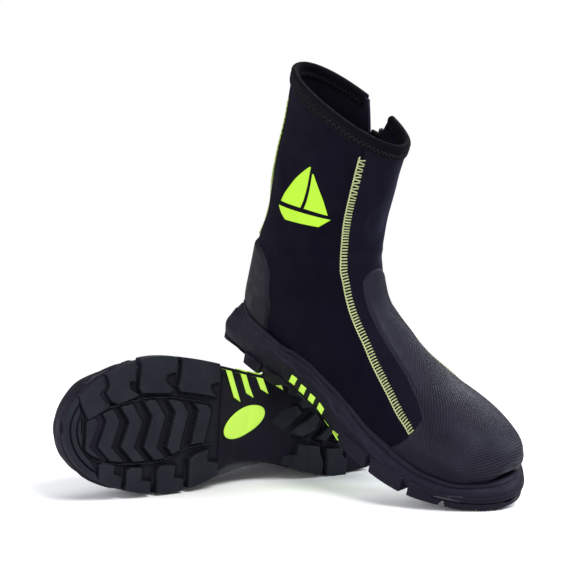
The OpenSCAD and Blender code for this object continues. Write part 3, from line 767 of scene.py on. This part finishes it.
def toe_cap():
    """Cup over the toes whose rear edge turns up into a tongue on the instep, as one sheet."""
    middle = np.linspace(-46, 46, 61)
    side = np.linspace(50, 104, 24)
    around = np.concatenate([-side[::-1], middle, side])
    rows = 76
    share = np.linspace(0, 1, rows)[:, None] ** 0.9
    v = along(CAP_BACK, np.abs(around))[None, :] * share
    under = 1 + 0.65 * np.clip((0.24 - v) / 0.1, 0, 1)
    u = np.sign(around) * (np.minimum(np.abs(around), 50) + np.maximum(np.abs(around) - 50, 0) * under)
    tongue_v = 0.262 + (TONGUE[-1][0] - 0.262) * np.sin(np.linspace(0, math.pi / 2, 120))[1:]
    tongue_u = along(TONGUE, tongue_v)[:, None] * np.linspace(-1, 1, len(middle))
    first = (rows - 1) * len(around) + len(side)
    start = rows * len(around)
    index = np.concatenate([[np.arange(len(middle)) + first],
                            start + np.arange(tongue_u.size).reshape(tongue_u.shape)])
    extra = np.stack([index[:-1, :-1], index[:-1, 1:], index[1:, 1:], index[1:, :-1]], -1).reshape(-1, 4)
    faces = grid_faces(rows, len(around)) + extra.tolist() + [list(range(len(around)))[::-1]]
    u = np.concatenate([u.ravel(), tongue_u.ravel()])
    v = np.concatenate([v.ravel(), np.repeat(tongue_v, len(middle))])
    part = Part()
    cover(part, u, v, OVERLAY_TOP, -0.1, OVERLAY_TOP - 0.3, 1.7, faces=faces, shape=toe_swell(v))
    points = skin(u, v)
    run = (0.45 * points[:, 1] - 0.89 * points[:, 2]) / 10
    uv = np.stack([lookup(ARC_S, u, np.maximum(v, 0.1)) / 10, run], 1)
    ribs = np.clip((points[:, 1] - 280) / 16, 0, 1)
    plain = np.clip((points[:, 2] - level(RAND_TOP, points[:, 1]) - 13 + 10 * ribs) / 5, 0, 1)
    zone = np.stack([plain * (1 - ribs), plain * ribs], 1)
    part.uv, part.zone = [np.concatenate([uv, uv])], np.concatenate([zone, zone])
    build("toe_cap", part, ("toe_rubber",), ("toe_cap",), smooth=70)


def heel_patch():
    v = 0.54 + (0.769 - 0.54) * np.sin(np.linspace(0, math.pi / 2, 70))
    part = Part()
    cover(part, between(HEEL_OUT, HEEL_IN, v, 70), v[:, None], OVERLAY_TOP, -0.1, OVERLAY_TOP - 0.3, 1.8)
    build("heel_patch", part, ("heel_rubber",), ("heel_patch",), smooth=70)


# Generic print in millimetres about its middle, x to the front and y up: [y, x] lines of rear and front edge.
MARK_AT = (92, 0.857)
MAINSAIL = ([(-10, -29), (6, -23), (20, -11), (29, -1.5)], [(-10, -1), (29, -0.5)])
JIB = ([(-10, 2.5), (24, 2.5)], [(-10, 33), (4, 22), (24, 4)])
HULL = ([(-25, -15), (-19, -25), (-14, -31)], [(-25, 26), (-14, 38)])


def side_mark():
    """Two sails over a hull, printed on the outer panel."""
    part = Part()
    u0, v0 = MARK_AT
    per_u = (lookup(ARC_S, np.array(u0 + 5.0), np.array(v0)) - lookup(ARC_S, np.array(u0 - 5.0), np.array(v0))) / 10
    per_v = np.linalg.norm(skin(u0, v0 + 0.01) - skin(u0, v0 - 0.01)) / 0.02
    for rear, front in (MAINSAIL, JIB, HULL):
        y = np.linspace(rear[0][0], rear[-1][0], 40)
        x = along(rear, y)[:, None] * (1 - crowded(30)) + along(front, y)[:, None] * crowded(30)
        cover(part, u0 - x / per_u, v0 + y[:, None] / per_v, 0.3, -0.05, 0.2, 0.3)
    build("side_mark", part, ("lime_print",), ("side_mark",), smooth=70)


# ---- Sole --------------------------------------------------------------------------------------------------

# Contour of the tread seen from above, anticlockwise from the heel.
CONTOUR = np.array([
    [0, -8], [18, -5], [32, 10], [38, 46], [39, 82], [42, 117], [48, 155], [53.5, 186], [56.5, 215], [56, 239],
    [51, 259], [42, 280], [31, 296], [17, 309], [0, 315], [-18, 312.5], [-33, 303], [-44.5, 287], [-51.5, 264],
    [-55, 239], [-54, 213], [-48.5, 191], [-39, 168], [-31, 152], [-30, 123], [-33, 100], [-38.5, 77], [-41.5, 42],
    [-34, 11], [-19, -4]])
GROUND = [(-12, 8), (-4, 3), (4, 0), (80, 0), (90, 6), (100, 9), (138, 9.5), (154, 5), (168, 1), (180, 0),
          (256, 0), (276, 1), (297, 3), (318, 7)]
PLATE_TOP = [(-12, 12), (-4, 8), (78, 6.6), (98, 11.6), (138, 12.1), (156, 8.4), (176, 6.2), (256, 6.2),
             (276, 7.2), (297, 9.4), (318, 13.4)]
RAND_TOP = [(-12, 24), (-8, 27), (-3, 42), (2, 45), (12, 43), (30, 39), (57, 39), (75, 38.5), (97, 41),
            (117, 42), (145, 38.5), (173, 35), (190, 31), (220, 27.5), (258, 23), (285, 23.5), (318, 26.5)]
PLATE = 1.2


def level(line, x):
    return np.interp(x, *np.array(line).T)


def smooth_loop(points, count):
    """Evenly spaced points on a closed smooth curve."""
    f = np.linspace(0, 1, 12, endpoint=False)[None, :, None]
    a, b, c, d = (np.roll(points, s, 0)[:, None, :] for s in (1, 0, -1, -2))
    curve = 0.5 * (2 * b + (c - a) * f + (2 * a - 5 * b + 4 * c - d) * f**2 + (3 * b - a - 3 * c + d) * f**3)
    curve = curve.reshape(-1, 2)
    run = np.concatenate([[0], np.cumsum(np.linalg.norm(np.diff(curve, axis=0, append=curve[:1]), axis=1))])
    at = np.linspace(0, run[-1], count, endpoint=False)
    closed = np.concatenate([curve, curve[:1]])
    return np.stack([np.interp(at, run, closed[:, i]) for i in (0, 1)], 1)


EDGE = smooth_loop(CONTOUR, 420)
EDGE = np.roll(EDGE, -int(np.argmin(EDGE[:, 1])), 0)
TIP = int(np.argmax(EDGE[:, 1]))


def edge_x(y, side):
    """x of the tread contour at y on the outer (1) or inner (-1) side."""
    branch = EDGE[: TIP + 1] if side > 0 else np.concatenate([EDGE[TIP:], EDGE[:1]])[::-1]
    return np.interp(y, branch[:, 1], branch[:, 0])


def sock_tree():
    """Search tree of the sock with its rubber overlays, for draping other pieces on it."""
    u, v = np.meshgrid(np.arange(0, 360, 4.0), np.linspace(0, 1, 150))
    back = np.abs(u - 180)
    rubber_on = (v < 0.28) | ((v < 0.76) & (v > 0.5) & (back < 78))
    points = skin(u, v, np.where(rubber_on, OVERLAY_TOP, 0.0) + toe_swell(v)).reshape(-1, 3)
    return BVHTree.FromPolygons(points.tolist(), grid_faces(*u.shape, True))


SOCK = sock_tree()


def rand_lean(top):
    """How far the lip leans in at each point of the contour to touch the foot."""
    middle = np.stack([np.full(len(EDGE), 1.0), np.clip(EDGE[:, 1], 40, 263)], 1)
    inward = unit(middle - EDGE)
    lean = []
    for p, d, z in zip(EDGE, inward, top - 0.8):
        hit = SOCK.ray_cast(Vector((*(p - 25 * d), z)), Vector((*d, 0)))[3]
        lean.append((hit if hit is not None else 30) - 25 - 2.7)
    lean = np.clip(lean + 1.5 * np.clip((EDGE[:, 1] - 285) / 20, 0, 1), -7, 18)
    for _ in range(2):
        lean = (np.roll(lean, 1) + lean + np.roll(lean, -1)) / 3
    return inward, lean


def rand():
    """Rubber cup: stands on the tread plate, swells out over it and leans in to hug the foot at its lip."""
    y = EDGE[:, 1]
    top, low = level(RAND_TOP, y), level(PLATE_TOP, y) - 0.2
    inward, lean = rand_lean(top)
    toe = np.clip((y - 241) / 25, 0, 1)
    heel = np.clip((26 - y) / 22, 0, 1)
    lugs = np.clip((y - 165) / 12, 0, 1) * np.clip((268 - y) / 14, 0, 1) + np.clip((92 - y) / 8, 0, 1) * (1 - heel)
    tall = top - low
    run = np.arange(len(EDGE)) * np.linalg.norm(EDGE[1] - EDGE[0])
    step_line = 11.5 + 1.6 * np.sin(run / 9.5) + 1.2 * np.sin(run / 4.1)
    loop = []
    for share in np.linspace(0, 1, 60):
        height, below = tall * share, (1 - share) * tall
        inset = lean * share**1.5 - 1.6 * math.sin(math.pi * min(1, share * 1.25)) * (1 - 0.4 * share)
        inset = inset - heel * 1.2 * np.exp(-(((share - 0.22) / 0.13) ** 2)) + heel * 2.6 * share
        inset = inset + lugs * 2.4 * (1 - share) ** 1.5
        inset = inset + 1.2 * np.exp(-(((below - 4.6 + 1.2 * toe) / 0.75) ** 2))
        inset = inset + 0.8 * (1 - toe) * np.clip((step_line - below) / 1.2 + 0.5, 0, 1) * np.clip(height / 4, 0, 1)
        inset = inset + toe * 0.5 * np.exp(-(((height - 0.4 * tall) / 0.8) ** 2))
        inset = inset - toe * 0.5 * math.sin(math.pi * share)
        inset = inset + 1.1 * np.clip(1 - below / 1.2, 0, 1) ** 2 + 0.5 * np.clip(1 - height / 1.0, 0, 1)
        loop.append(np.column_stack([EDGE + inward * inset[:, None], low + height]))
    for depth, share in ((1.6, 1.0), (2.7, 0.985), (3.2, 0.9), (4.2, 0.5), (4.6, 0.12), (4.4, 0.0)):
        inset = lean * share**1.5 + depth + 0.8
        loop.append(np.column_stack([EDGE + inward * inset[:, None], low + tall * share]))
    grid = np.stack(loop, 1)
    uv = np.stack(np.broadcast_arrays(run[:, None], grid[:, :, 2]), -1) / 10
    part = Part()
    part.add(grid, grid_faces(*grid.shape[:2], True, True), uv)
    build("rand", part, ("rand_rubber",), ("rand",), smooth=50)
    return BVHTree.FromPolygons(grid.reshape(-1, 3).tolist(), grid_faces(*grid.shape[:2], True, True))


# Lugs as drawn under the boot, x outwards and y to the toe. Points past the contour are brought back to it.
OUTER_LUGS = [
    [(60, 286), (42, 286), (31, 281.5), (25, 286.5), (20, 283), (16, 276.5), (12, 281), (4, 295), (19, 302.5),
     (30, 305), (60, 305)],
    [(60, 256), (40, 254.5), (37, 254), (36, 260), (30, 259), (25.5, 250.5), (22.5, 255), (17.5, 269),
     (20, 275), (26, 280), (32, 277), (44, 281), (60, 281)],
    [(60, 215.5), (45, 215.5), (42.5, 225), (37, 225.5), (29.5, 217), (27.5, 221), (27, 247), (31, 250),
     (40, 249.5), (60, 249)],
    [(60, 174), (38, 172.5), (35, 182), (30, 181), (25, 175.5), (27, 189), (29, 210), (33, 212.5),
     (41, 210.5), (60, 210.5)],
    [(60, 66), (30, 64), (25, 68), (18, 70), (16, 86), (25, 87), (28, 98), (60, 102)],
    [(60, 41), (29, 39), (24, 44), (18, 45), (20, 62), (26, 60), (60, 60)],
]
INNER_LUGS = [
    [(-60, 262.5), (-42.5, 263), (-40, 270), (-33.5, 269), (-32, 276), (-32.5, 283), (-60, 283)],
    [(-60, 234), (-46.5, 235.5), (-45.5, 244), (-38, 243.5), (-35, 244), (-35, 254), (-38, 258), (-60, 257.5)],
    [(-60, 202.5), (-44, 203.5), (-43, 213), (-33, 212), (-33, 225), (-37.5, 229), (-60, 228.5)],
    [(-60, 170), (-31, 170), (-29.5, 181), (-20, 181.5), (-23.5, 192), (-28, 198), (-60, 198)],
    [(-60, 65), (-30, 64), (-24, 67), (-17, 69), (-15, 87), (-24, 88), (-26, 100), (-60, 104)],
    [(-60, 40), (-29, 39), (-24, 44), (-18, 45), (-19, 61), (-26, 60), (-60, 60)],
]
HEEL_BLOCKS = [
    [(3, 115), (13.5, 104), (18, 90), (12, 86), (-4, 101)],
    [(12, 75), (-5.5, 95), (-8.5, 85), (-2, 74), (8, 70)],
    [(12, 65), (3, 57), (-10, 72), (-12, 63), (4, 47), (13, 56)],
    [(12, 47), (3, 38), (-11, 54), (-13, 45), (3, 27), (13, 38)],
]
# Chevrons of the forefoot: y and x of the outer bend of the heel-side edge.
CHEVRONS = [(286.5, 1), (267, 3.5), (246, 3), (224.5, 8), (202.5, 11.5), (180, 13)]
FIELD_OUT = [(174, 18), (194, 21), (219, 23.5), (239, 23), (254, 20), (276, 14), (289, 8), (298, 3)]
FIELD_IN = [(174, -14), (196, -17), (204, -20), (214, -25), (224, -29), (236, -31), (264, -32), (280, -31),
            (290, -27), (300, -20)]


TOE_GAP = [(30, 308), (20, 304), (0, 301), (-20, 299), (-28, 292), (-46, 283)]


def inside_by(points, x, y):
    """Signed distance into a polygon: positive inside, negative outside."""
    points = np.array(points, float)
    near = np.full(x.shape, 1e9)
    odd = np.zeros(x.shape, bool)
    for (ax, ay), (bx, by) in zip(points, np.roll(points, -1, 0)):
        dx, dy = bx - ax, by - ay
        f = np.clip(((x - ax) * dx + (y - ay) * dy) / (dx * dx + dy * dy + 1e-9), 0, 1)
        near = np.minimum(near, np.hypot(x - ax - f * dx, y - ay - f * dy))
        if dy:
            odd ^= ((ay > y) != (by > y)) & (x < ax + (y - ay) * dx / dy)
    return np.where(odd, near, -near)


def chevron_by(y0, bend, x, y):
    """Signed distance into one three-legged bar of the middle field."""
    edge = [(-50, y0 - 26), (-18, y0 + 6.5), (bend, y0), (40, y0 + 9 + (40 - bend) * 0.45)]
    start = y - np.interp(x, *np.array(edge).T)
    return np.minimum(start, 11.5 - start) * 0.88


def field_by(x, y):
    """Signed distance into the leaf-shaped middle field."""
    ends = np.minimum(y - FIELD_OUT[0][0], FIELD_OUT[-1][0] - y)
    return np.minimum.reduce([level(FIELD_OUT, y) - x, x - level(FIELD_IN, y), ends])


def heel_by(x, y):
    """Signed distance into the two curved bars behind the heel blocks."""
    depth = 13 + 0.019 * x**2 - y
    bars = np.maximum(np.minimum(depth, 7.6 - depth), depth - 9.4)
    return np.minimum(bars, 27 - np.abs(x))


def toe_by(x, y):
    """Signed distance into the plain toe zone past the last lugs, cut by two grooves along the contour."""
    line = np.array(TOE_GAP[::-1], float)
    zone = (y - np.interp(x, line[:, 0], line[:, 1])) * 0.9
    zone = np.where((x > 33) | (x < -46) | (y < 270), -5.0, zone)
    rim = inside_by(EDGE[::3], x, y)
    return np.minimum.reduce([zone, np.abs(rim - 5.5) - 0.8, np.abs(rim - 11) - 0.8])


def relief(x, y):
    """Share of the full lug height at points under the boot, and 1 less the shade painted on the low ground between
    lugs.
    """
    best = np.full(x.shape, -9.0)
    for shape in OUTER_LUGS + INNER_LUGS + HEEL_BLOCKS:
        best = np.maximum(best, inside_by(shape, x, y))
    field = field_by(x, y)
    for y0, bend in CHEVRONS:
        best = np.maximum(best, np.minimum(chevron_by(y0, bend, x, y), field - 2))
    best = np.maximum.reduce([best, heel_by(x, y), toe_by(x, y)])
    share = np.interp(best, [-1.3, -0.15, 0.25, 0.9], [0, 0.88, 0.97, 1])
    line = np.interp(np.abs(field + 0.2), [0.5, 1.3], [0.62, 0])
    share = np.maximum(share, np.where(y > FIELD_OUT[0][0] + 2, line, 0))
    # Painted shade: low ground between the lugs is marked for darkening, fading out where no lug stands near.
    shade = (1 - share) * np.clip((best + 7) / 4, 0, 1)
    return share, 1 - shade


def lug_zone(y):
    """1 beside the edge lugs of forefoot and heel, 0 at the arch and round both tips."""
    front = np.clip((y - 160) / 10, 0, 1) * np.clip((276 - y) / 14, 0, 1)
    return front + 0.6 * np.clip((95 - y) / 8, 0, 1) * np.clip((y - 12) / 12, 0, 1)


def tread():
    """Bottom plate: the relief on a fine grid, closed by side walls and a plain upper face."""
    part = Part()
    rows, cols = 440, 150
    turn = np.linspace(0.02, math.pi - 0.02, rows)
    low_y, high_y = EDGE[:, 1].min(), EDGE[:, 1].max()
    even = np.linspace(low_y, high_y, rows)
    y = 0.75 * even + 0.25 * ((low_y + high_y) / 2 - (high_y - low_y) / 2 * np.cos(turn))
    y = np.clip(y, low_y + 0.5, high_y - 0.5)
    ribs = 0.8 * np.abs(np.sin((y - 106) * math.pi / 8.5)) * ((y > 106) & (y < 157))
    share = np.linspace(0, 1, cols)
    x = edge_x(y, -1)[:, None] * (1 - share) + edge_x(y, 1)[:, None] * share
    yy = np.broadcast_to(y[:, None], x.shape)
    high, unshaded_share = relief(x, yy)
    wide = np.abs(2 * share - 1) ** 24
    zone = lug_zone(yy)
    x = x + np.sign(share - 0.5) * wide * (3.6 * high - 2.4) * zone - ribs[:, None] * (1 - share) ** 12
    plate = level(PLATE_TOP, yy) - PLATE
    low = np.stack([x, yy, plate + (level(GROUND, yy) - plate) * high], -1)
    wall = low[:, [0, -1]].copy()
    wall[..., 2] = level(PLATE_TOP, wall[..., 1]) - 0.6 + 6.5 * (high * zone)[:, [0, -1]]
    back = wall.copy()
    back[..., 0] -= np.array([-3.5, 3.5])
    back[..., 2] += 4 * (high * zone)[:, [0, -1]] - 2
    faces, mats = tread_faces(rows, cols)
    part.add(np.concatenate([a.reshape(-1, 3) for a in (low, wall, back)]), faces, mat=mats)
    # The Zone map carries the painted shade of the grooves; the side walls get none.
    unshaded_share = np.concatenate([unshaded_share.ravel(), np.ones(4 * rows)])
    part.zone = np.stack([unshaded_share, unshaded_share], 1)
    build("tread", part, ("tread_rubber", "rand_rubber"), ("tread",), smooth=35)


def tread_faces(rows, cols):
    """Faces and materials of the relief grid, its side walls and the strip that closes it above."""
    wall = rows * cols + 2 * np.arange(rows)
    back = wall + 2 * rows
    first = np.arange(rows) * cols
    last = first + cols - 1
    faces = grid_faces(rows, cols)
    mats = [0] * len(faces)
    for a, b in ((first, wall), (wall, back), (back, back + 1), (back + 1, wall + 1), (wall + 1, last)):
        faces += np.stack([a[:-1], a[1:], b[1:], b[:-1]], 1).tolist()
        mats += [1] * (rows - 1)
    close = [wall[0], back[0], back[0] + 1, wall[0] + 1]
    faces.append([int(i) for i in (*range(cols), *close[::-1])])
    close = [wall[-1], back[-1], back[-1] + 1, wall[-1] + 1]
    faces.append([int(i) for i in (*range((rows - 1) * cols, rows * cols), *close[::-1])])
    return faces, mats + [1, 1]


def slab(part, x, y, rise, depth):
    """Thin inlay under the arch from a height rise over its surface to a depth in it."""
    top = np.stack([x, y, level(GROUND, y) - rise], -1)
    low = np.stack([x, y, level(GROUND, y) + depth], -1)
    part.shell(top.reshape(-1, 3), low.reshape(-1, 3), grid_faces(*x.shape))


def on_rand(y, z, rise):
    """Points on the outer wall of the rand at each y and z, moved out by a height."""
    made = np.empty((*y.shape, 3))
    for i in np.ndindex(y.shape):
        hit = RAND_TREE.ray_cast(Vector((90, y[i], z[i])), Vector((-1, 0, 0)))[0]
        made[i] = (hit.x if hit else edge_x(y[i], 1)) + rise[i], y[i], z[i]
    return made


def inlays():
    """Four lime bars under the arch, each with a short end on the outer wall."""
    part = Part()
    s, w = np.meshgrid(np.linspace(0, 1, 50), np.linspace(-1, 1, 17), indexing="ij")
    half, pitch = 4.4, 16.4
    for i in range(4):
        long = 38 - 6.5 * i
        start = np.array([22.5 + 3.5 * i, 152 - pitch * i + 1.7 * i])
        x = start[0] + s * long * 0.9 + w * half * 0.44
        y = start[1] + s * long * 0.44 + w * half * 0.9
        x = np.minimum(x, edge_x(y, 1) - 2.5)
        rim = np.minimum.reduce([s * long, (1 - s) * long, half * (1 - np.abs(w))])
        slab(part, x, y, 0.9 - 0.5 * np.exp(-((rim / 0.6) ** 2)), 0.4)
    s, w = np.meshgrid(np.linspace(0, 1, 14), np.linspace(-1, 1, 14), indexing="ij")
    for i in range(4):
        y = 142 - 13.5 * i + w * 3.6 + s * 2.5
        z = level(GROUND, y) + END_HEIGHTS[i] + s * 8
        rim = np.minimum.reduce([s * 8, (1 - s) * 8, 3.6 * (1 - np.abs(w))])
        rise = 0.8 - 0.4 * np.exp(-((rim / 0.6) ** 2))
        part.shell(on_rand(y, z, rise).reshape(-1, 3), on_rand(y, z, rise * 0 - 0.6).reshape(-1, 3),
                   grid_faces(*s.shape))
    build("arch_inlays", part, ("lime_rubber",), ("arch_inlays",), smooth=60)


END_HEIGHTS = (3.5, 3.5, 4.5, 6.0)  # of the bar ends on the wall, above the ground surface


def badge():
    """Plain oval badge with a raised rim."""
    part = Part()
    turn, share = np.meshgrid(np.linspace(0, 2 * math.pi, 72, endpoint=False), np.linspace(0.02, 1, 16))
    long, short, tilt = 24.0, 11.2, math.radians(115)
    a, b = long * share * np.cos(turn), short * share * np.sin(turn)
    x = 3.5 + a * math.cos(tilt) - b * math.sin(tilt)
    y = 143.5 + a * math.sin(tilt) + b * math.cos(tilt)
    step = 0.9 - 0.5 * np.clip((share - 0.96) / 0.04, 0, 1) - 0.3 * np.exp(-(((share - 0.86) / 0.03) ** 2))
    top = np.stack([x, y, level(GROUND, y) - step], -1)
    low = np.stack([x, y, level(GROUND, y) + 0.4], -1)
    part.shell(top.reshape(-1, 3), low.reshape(-1, 3), grid_faces(*turn.shape, True))
    build("arch_badge", part, ("lime_rubber",), ("arch_badge",), smooth=60)


# ---- Zip ---------------------------------------------------------------------------------------------------

ZIP_LOW = np.array([-31.7, 78.6, 118])
ZIP_TOP = np.array([-25.1, 86, 251])
ZIP_TURN = 176
STAND = 1.4
ZIP_LENGTH = 133
SLIDER_TOP = 113
TOOTH_PITCH = 3.0


def zip_frame():
    """Rotation of the zip: X outwards, Y across, Z up."""
    up = unit(ZIP_TOP - ZIP_LOW)
    turn = math.radians(ZIP_TURN)
    side_x = up[0] * math.cos(turn) + up[1] * math.sin(turn)
    side_y = -up[0] * math.sin(turn) + up[1] * math.cos(turn)
    pitch = math.atan2(side_x, up[2])
    return np.array(Matrix.Rotation(turn, 3, "Z") @ Matrix.Rotation(pitch, 3, "Y")
                    @ Matrix.Rotation(-math.asin(side_y), 3, "X"))


ZIP_AXES = zip_frame()


def at_zip(x, y, z):
    return np.stack(np.broadcast_arrays(x + STAND, y, z), -1) @ ZIP_AXES.T + ZIP_LOW


def skin_height(y, z):
    """Height of the sock over the zip's own plane."""
    out = ZIP_AXES @ np.array([1.0, 0, 0])
    start = at_zip(12.0, y, z)
    made = np.empty(np.shape(y))
    for i in np.ndindex(made.shape):
        hit = SOCK.ray_cast(Vector(start[i]), Vector(-out))[3]
        made[i] = 12.0 - (hit if hit is not None and hit < 20 else 13.4)
    return made


def opening(z):
    """Distance of each zip edge from the middle: the rows part over the slider."""
    return 0.25 + 0.5 * np.maximum(z - SLIDER_TOP, 0)


def zip_tapes():
    for name, side in (("tape_front", 1), ("tape_back", -1)):
        part = Part()
        z, share = np.meshgrid(np.linspace(0, ZIP_LENGTH - 23, 110), np.linspace(0, 1, 16), indexing="ij")
        y = side * (opening(z) + 0.35 + share * 8.6)
        base = skin_height(y, z)
        top = np.maximum(0.8 - 1.4 * share**2, base + 0.7) - 0.5 * np.clip((share - 0.9) / 0.1, 0, 1)
        top = top - 0.25 * np.exp(-(((share - 0.72) / 0.05) ** 2))
        low = np.minimum(base - 0.3, top - 0.6)
        uv = np.stack([share * 8.6, z], -1) / 10
        part.shell(at_zip(top, y, z).reshape(-1, 3), at_zip(low, y, z).reshape(-1, 3), grid_faces(*z.shape),
                   uv.reshape(-1, 2))
        build(name, part, ("zip_tape",), (name,), smooth=60)
        part = Part()
        box = [(-1.0, -0.8), (1.0, -0.8), (1.0, 0.8), (-1.0, 0.8)]
        for i in range(int((ZIP_LENGTH - 27) / TOOTH_PITCH)):
            z = 5.8 + i * TOOTH_PITCH + (0 if side > 0 else TOOTH_PITCH / 2)
            rings = [np.array([(x, side * opening(z) + side * 0.9 + a * s, z + b * s) for a, b in box])
                     for x, s in ((0.7, 1.0), (1.9, 1.0), (2.4, 0.7))]
            grid = np.stack([at_zip(r[:, 0], r[:, 1], r[:, 2]) for r in rings])
            part.add(grid, grid_faces(3, 4, True) + [[0, 1, 2, 3], [11, 10, 9, 8]])
        teeth = name.replace("tape", "teeth")
        build(teeth, part, ("zip_plastic",), (teeth,), smooth=30)


def zip_hardware():
    """Stop, slider and pull are the CAD nodes themselves, with broken edges and their own finish."""
    for side in SIDES:
        for name, look, width in (("zip_stop", "zip_plastic", 0.5), ("zip_slider", "slider_metal", 0.35),
                                  ("zip_pull", "pull_cord", 0.4), ("midsole", "midsole_foam", 0)):
            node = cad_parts[f"{side}_{name}"]
            node.data.materials.clear()
            node.data.materials.append(MATERIALS[look])
            if width:
                bevel = node.modifiers.new("Edges", "BEVEL")
                bevel.width = width / 1000
                bevel.segments = 3
                bevel.limit_method = "ANGLE"


panels()
inside()
ladder("front_seam", FRONT_SEAM, 0.2615, 0.966)
ladder("back_seam", BACK, 0.775, 0.968, look="lime_thread")
ladder("inner_seam", ZIP_FRONT, 0.29, 22 * STEP)
binding()
toe_cap()
heel_patch()
side_mark()
RAND_TREE = rand()
tread()
inlays()
badge()
zip_tapes()
zip_hardware()

# ---- Stage, light and camera --------------------------------------------------------------------------------

FLOOR_GAIN = 1.75


def stage():
    """Pale floor that takes soft shadows near the boots and fades to the white of the surround."""
    look = Look("floor", (0.8, 0.8, 0.8), 0.95, specular=0.0)
    seen = look.node("ShaderNodeLightPath").outputs["Is Camera Ray"]
    lit = look.span(seen, 0, 1, 0.75, FLOOR_GAIN)
    look.link(look.node("ShaderNodeCombineXYZ", i0=lit, i1=lit, i2=lit).outputs[0], "Base Color")
    look.bump(look.noise(3, 2), 0.05, 0.1)
    where = look.node("ShaderNodeTexCoord").outputs["Object"]
    away = look.node("ShaderNodeVectorMath", i0=where)
    away.operation = "LENGTH"
    glow = look.node("ShaderNodeEmission", Strength=1.0)
    mix = look.node("ShaderNodeMixShader", i0=look.span(away.outputs["Value"], 0.28, 0.75, 0, 1),
                    i1=look.shader.outputs[0], i2=glow.outputs[0])
    look.tree.links.new(mix.outputs[0], look.tree.nodes["Material Output"].inputs[0])
    mesh = bpy.data.meshes.new("floor")
    size = 6.0
    mesh.from_pydata([(-size, -size, 0), (size, -size, 0), (size, size, 0), (-size, size, 0)], [], [(0, 1, 2, 3)])
    mesh.materials.append(look.mat)
    floor = bpy.data.objects.new("floor", mesh)
    bpy.context.scene.collection.objects.link(floor)


def area_light(name, at, aim, size, power, colour=(1, 1, 1)):
    lamp = bpy.data.lights.new(name, "AREA")
    lamp.shape = "RECTANGLE"
    lamp.size, lamp.size_y = size
    lamp.energy = power
    lamp.color = colour
    obj = bpy.data.objects.new(name, lamp)
    obj.location = at
    obj.rotation_euler = (Vector(aim) - Vector(at)).to_track_quat("-Z", "Y").to_euler()
    bpy.context.scene.collection.objects.link(obj)


def surround(seen, cast):
    """White surround for the camera, dimmer as a light so that the blacks stay deep."""
    world = bpy.data.worlds.new("surround")
    bpy.context.scene.world = world
    world.use_nodes = True
    tree = world.node_tree
    path = tree.nodes.new("ShaderNodeLightPath")
    back = tree.nodes["Background"]
    mix = tree.nodes.new("ShaderNodeMix")
    mix.inputs[2].default_value, mix.inputs[3].default_value = cast, seen
    tree.links.new(path.outputs["Is Camera Ray"], mix.inputs[0])
    tree.links.new(mix.outputs[0], back.inputs["Strength"])
    back.inputs["Color"].default_value = (1, 1, 1, 1)


def camera():
    """Long lens, level with the ankle, turned a little to the left of the pair."""
    data = bpy.data.cameras.new("camera")
    data.sensor_width = 36
    data.lens = 153.3
    obj = bpy.data.objects.new("camera", data)
    obj.location = (0.0661, -2.135, 0.3708)
    obj.rotation_euler = (math.radians(84.36), 0, math.radians(1.935))
    bpy.context.scene.collection.objects.link(obj)
    bpy.context.scene.camera = obj


stage()
surround(1.0, 0.2)
area_light("key", (0.9, -1.3, 1.9), (0, 0, 0.15), (1.2, 1.2), 26)
area_light("left", (-1.9, -0.8, 0.9), (0, 0, 0.1), (0.8, 1.4), 14, (0.9, 0.92, 1))
area_light("fill", (-0.4, -2.3, 0.5), (0, 0, 0.08), (1.6, 0.8), 9, (0.95, 0.96, 1))
area_light("right", (1.9, 0.1, 1.2), (0.1, 0, 0.1), (0.7, 1.0), 16, (0.82, 0.86, 1))
area_light("back", (0.6, 1.7, 1.5), (0, 0, 0.2), (1.6, 0.9), 20, (0.95, 0.97, 1))
camera()
bpy.context.scene.view_settings.view_transform = "Standard"
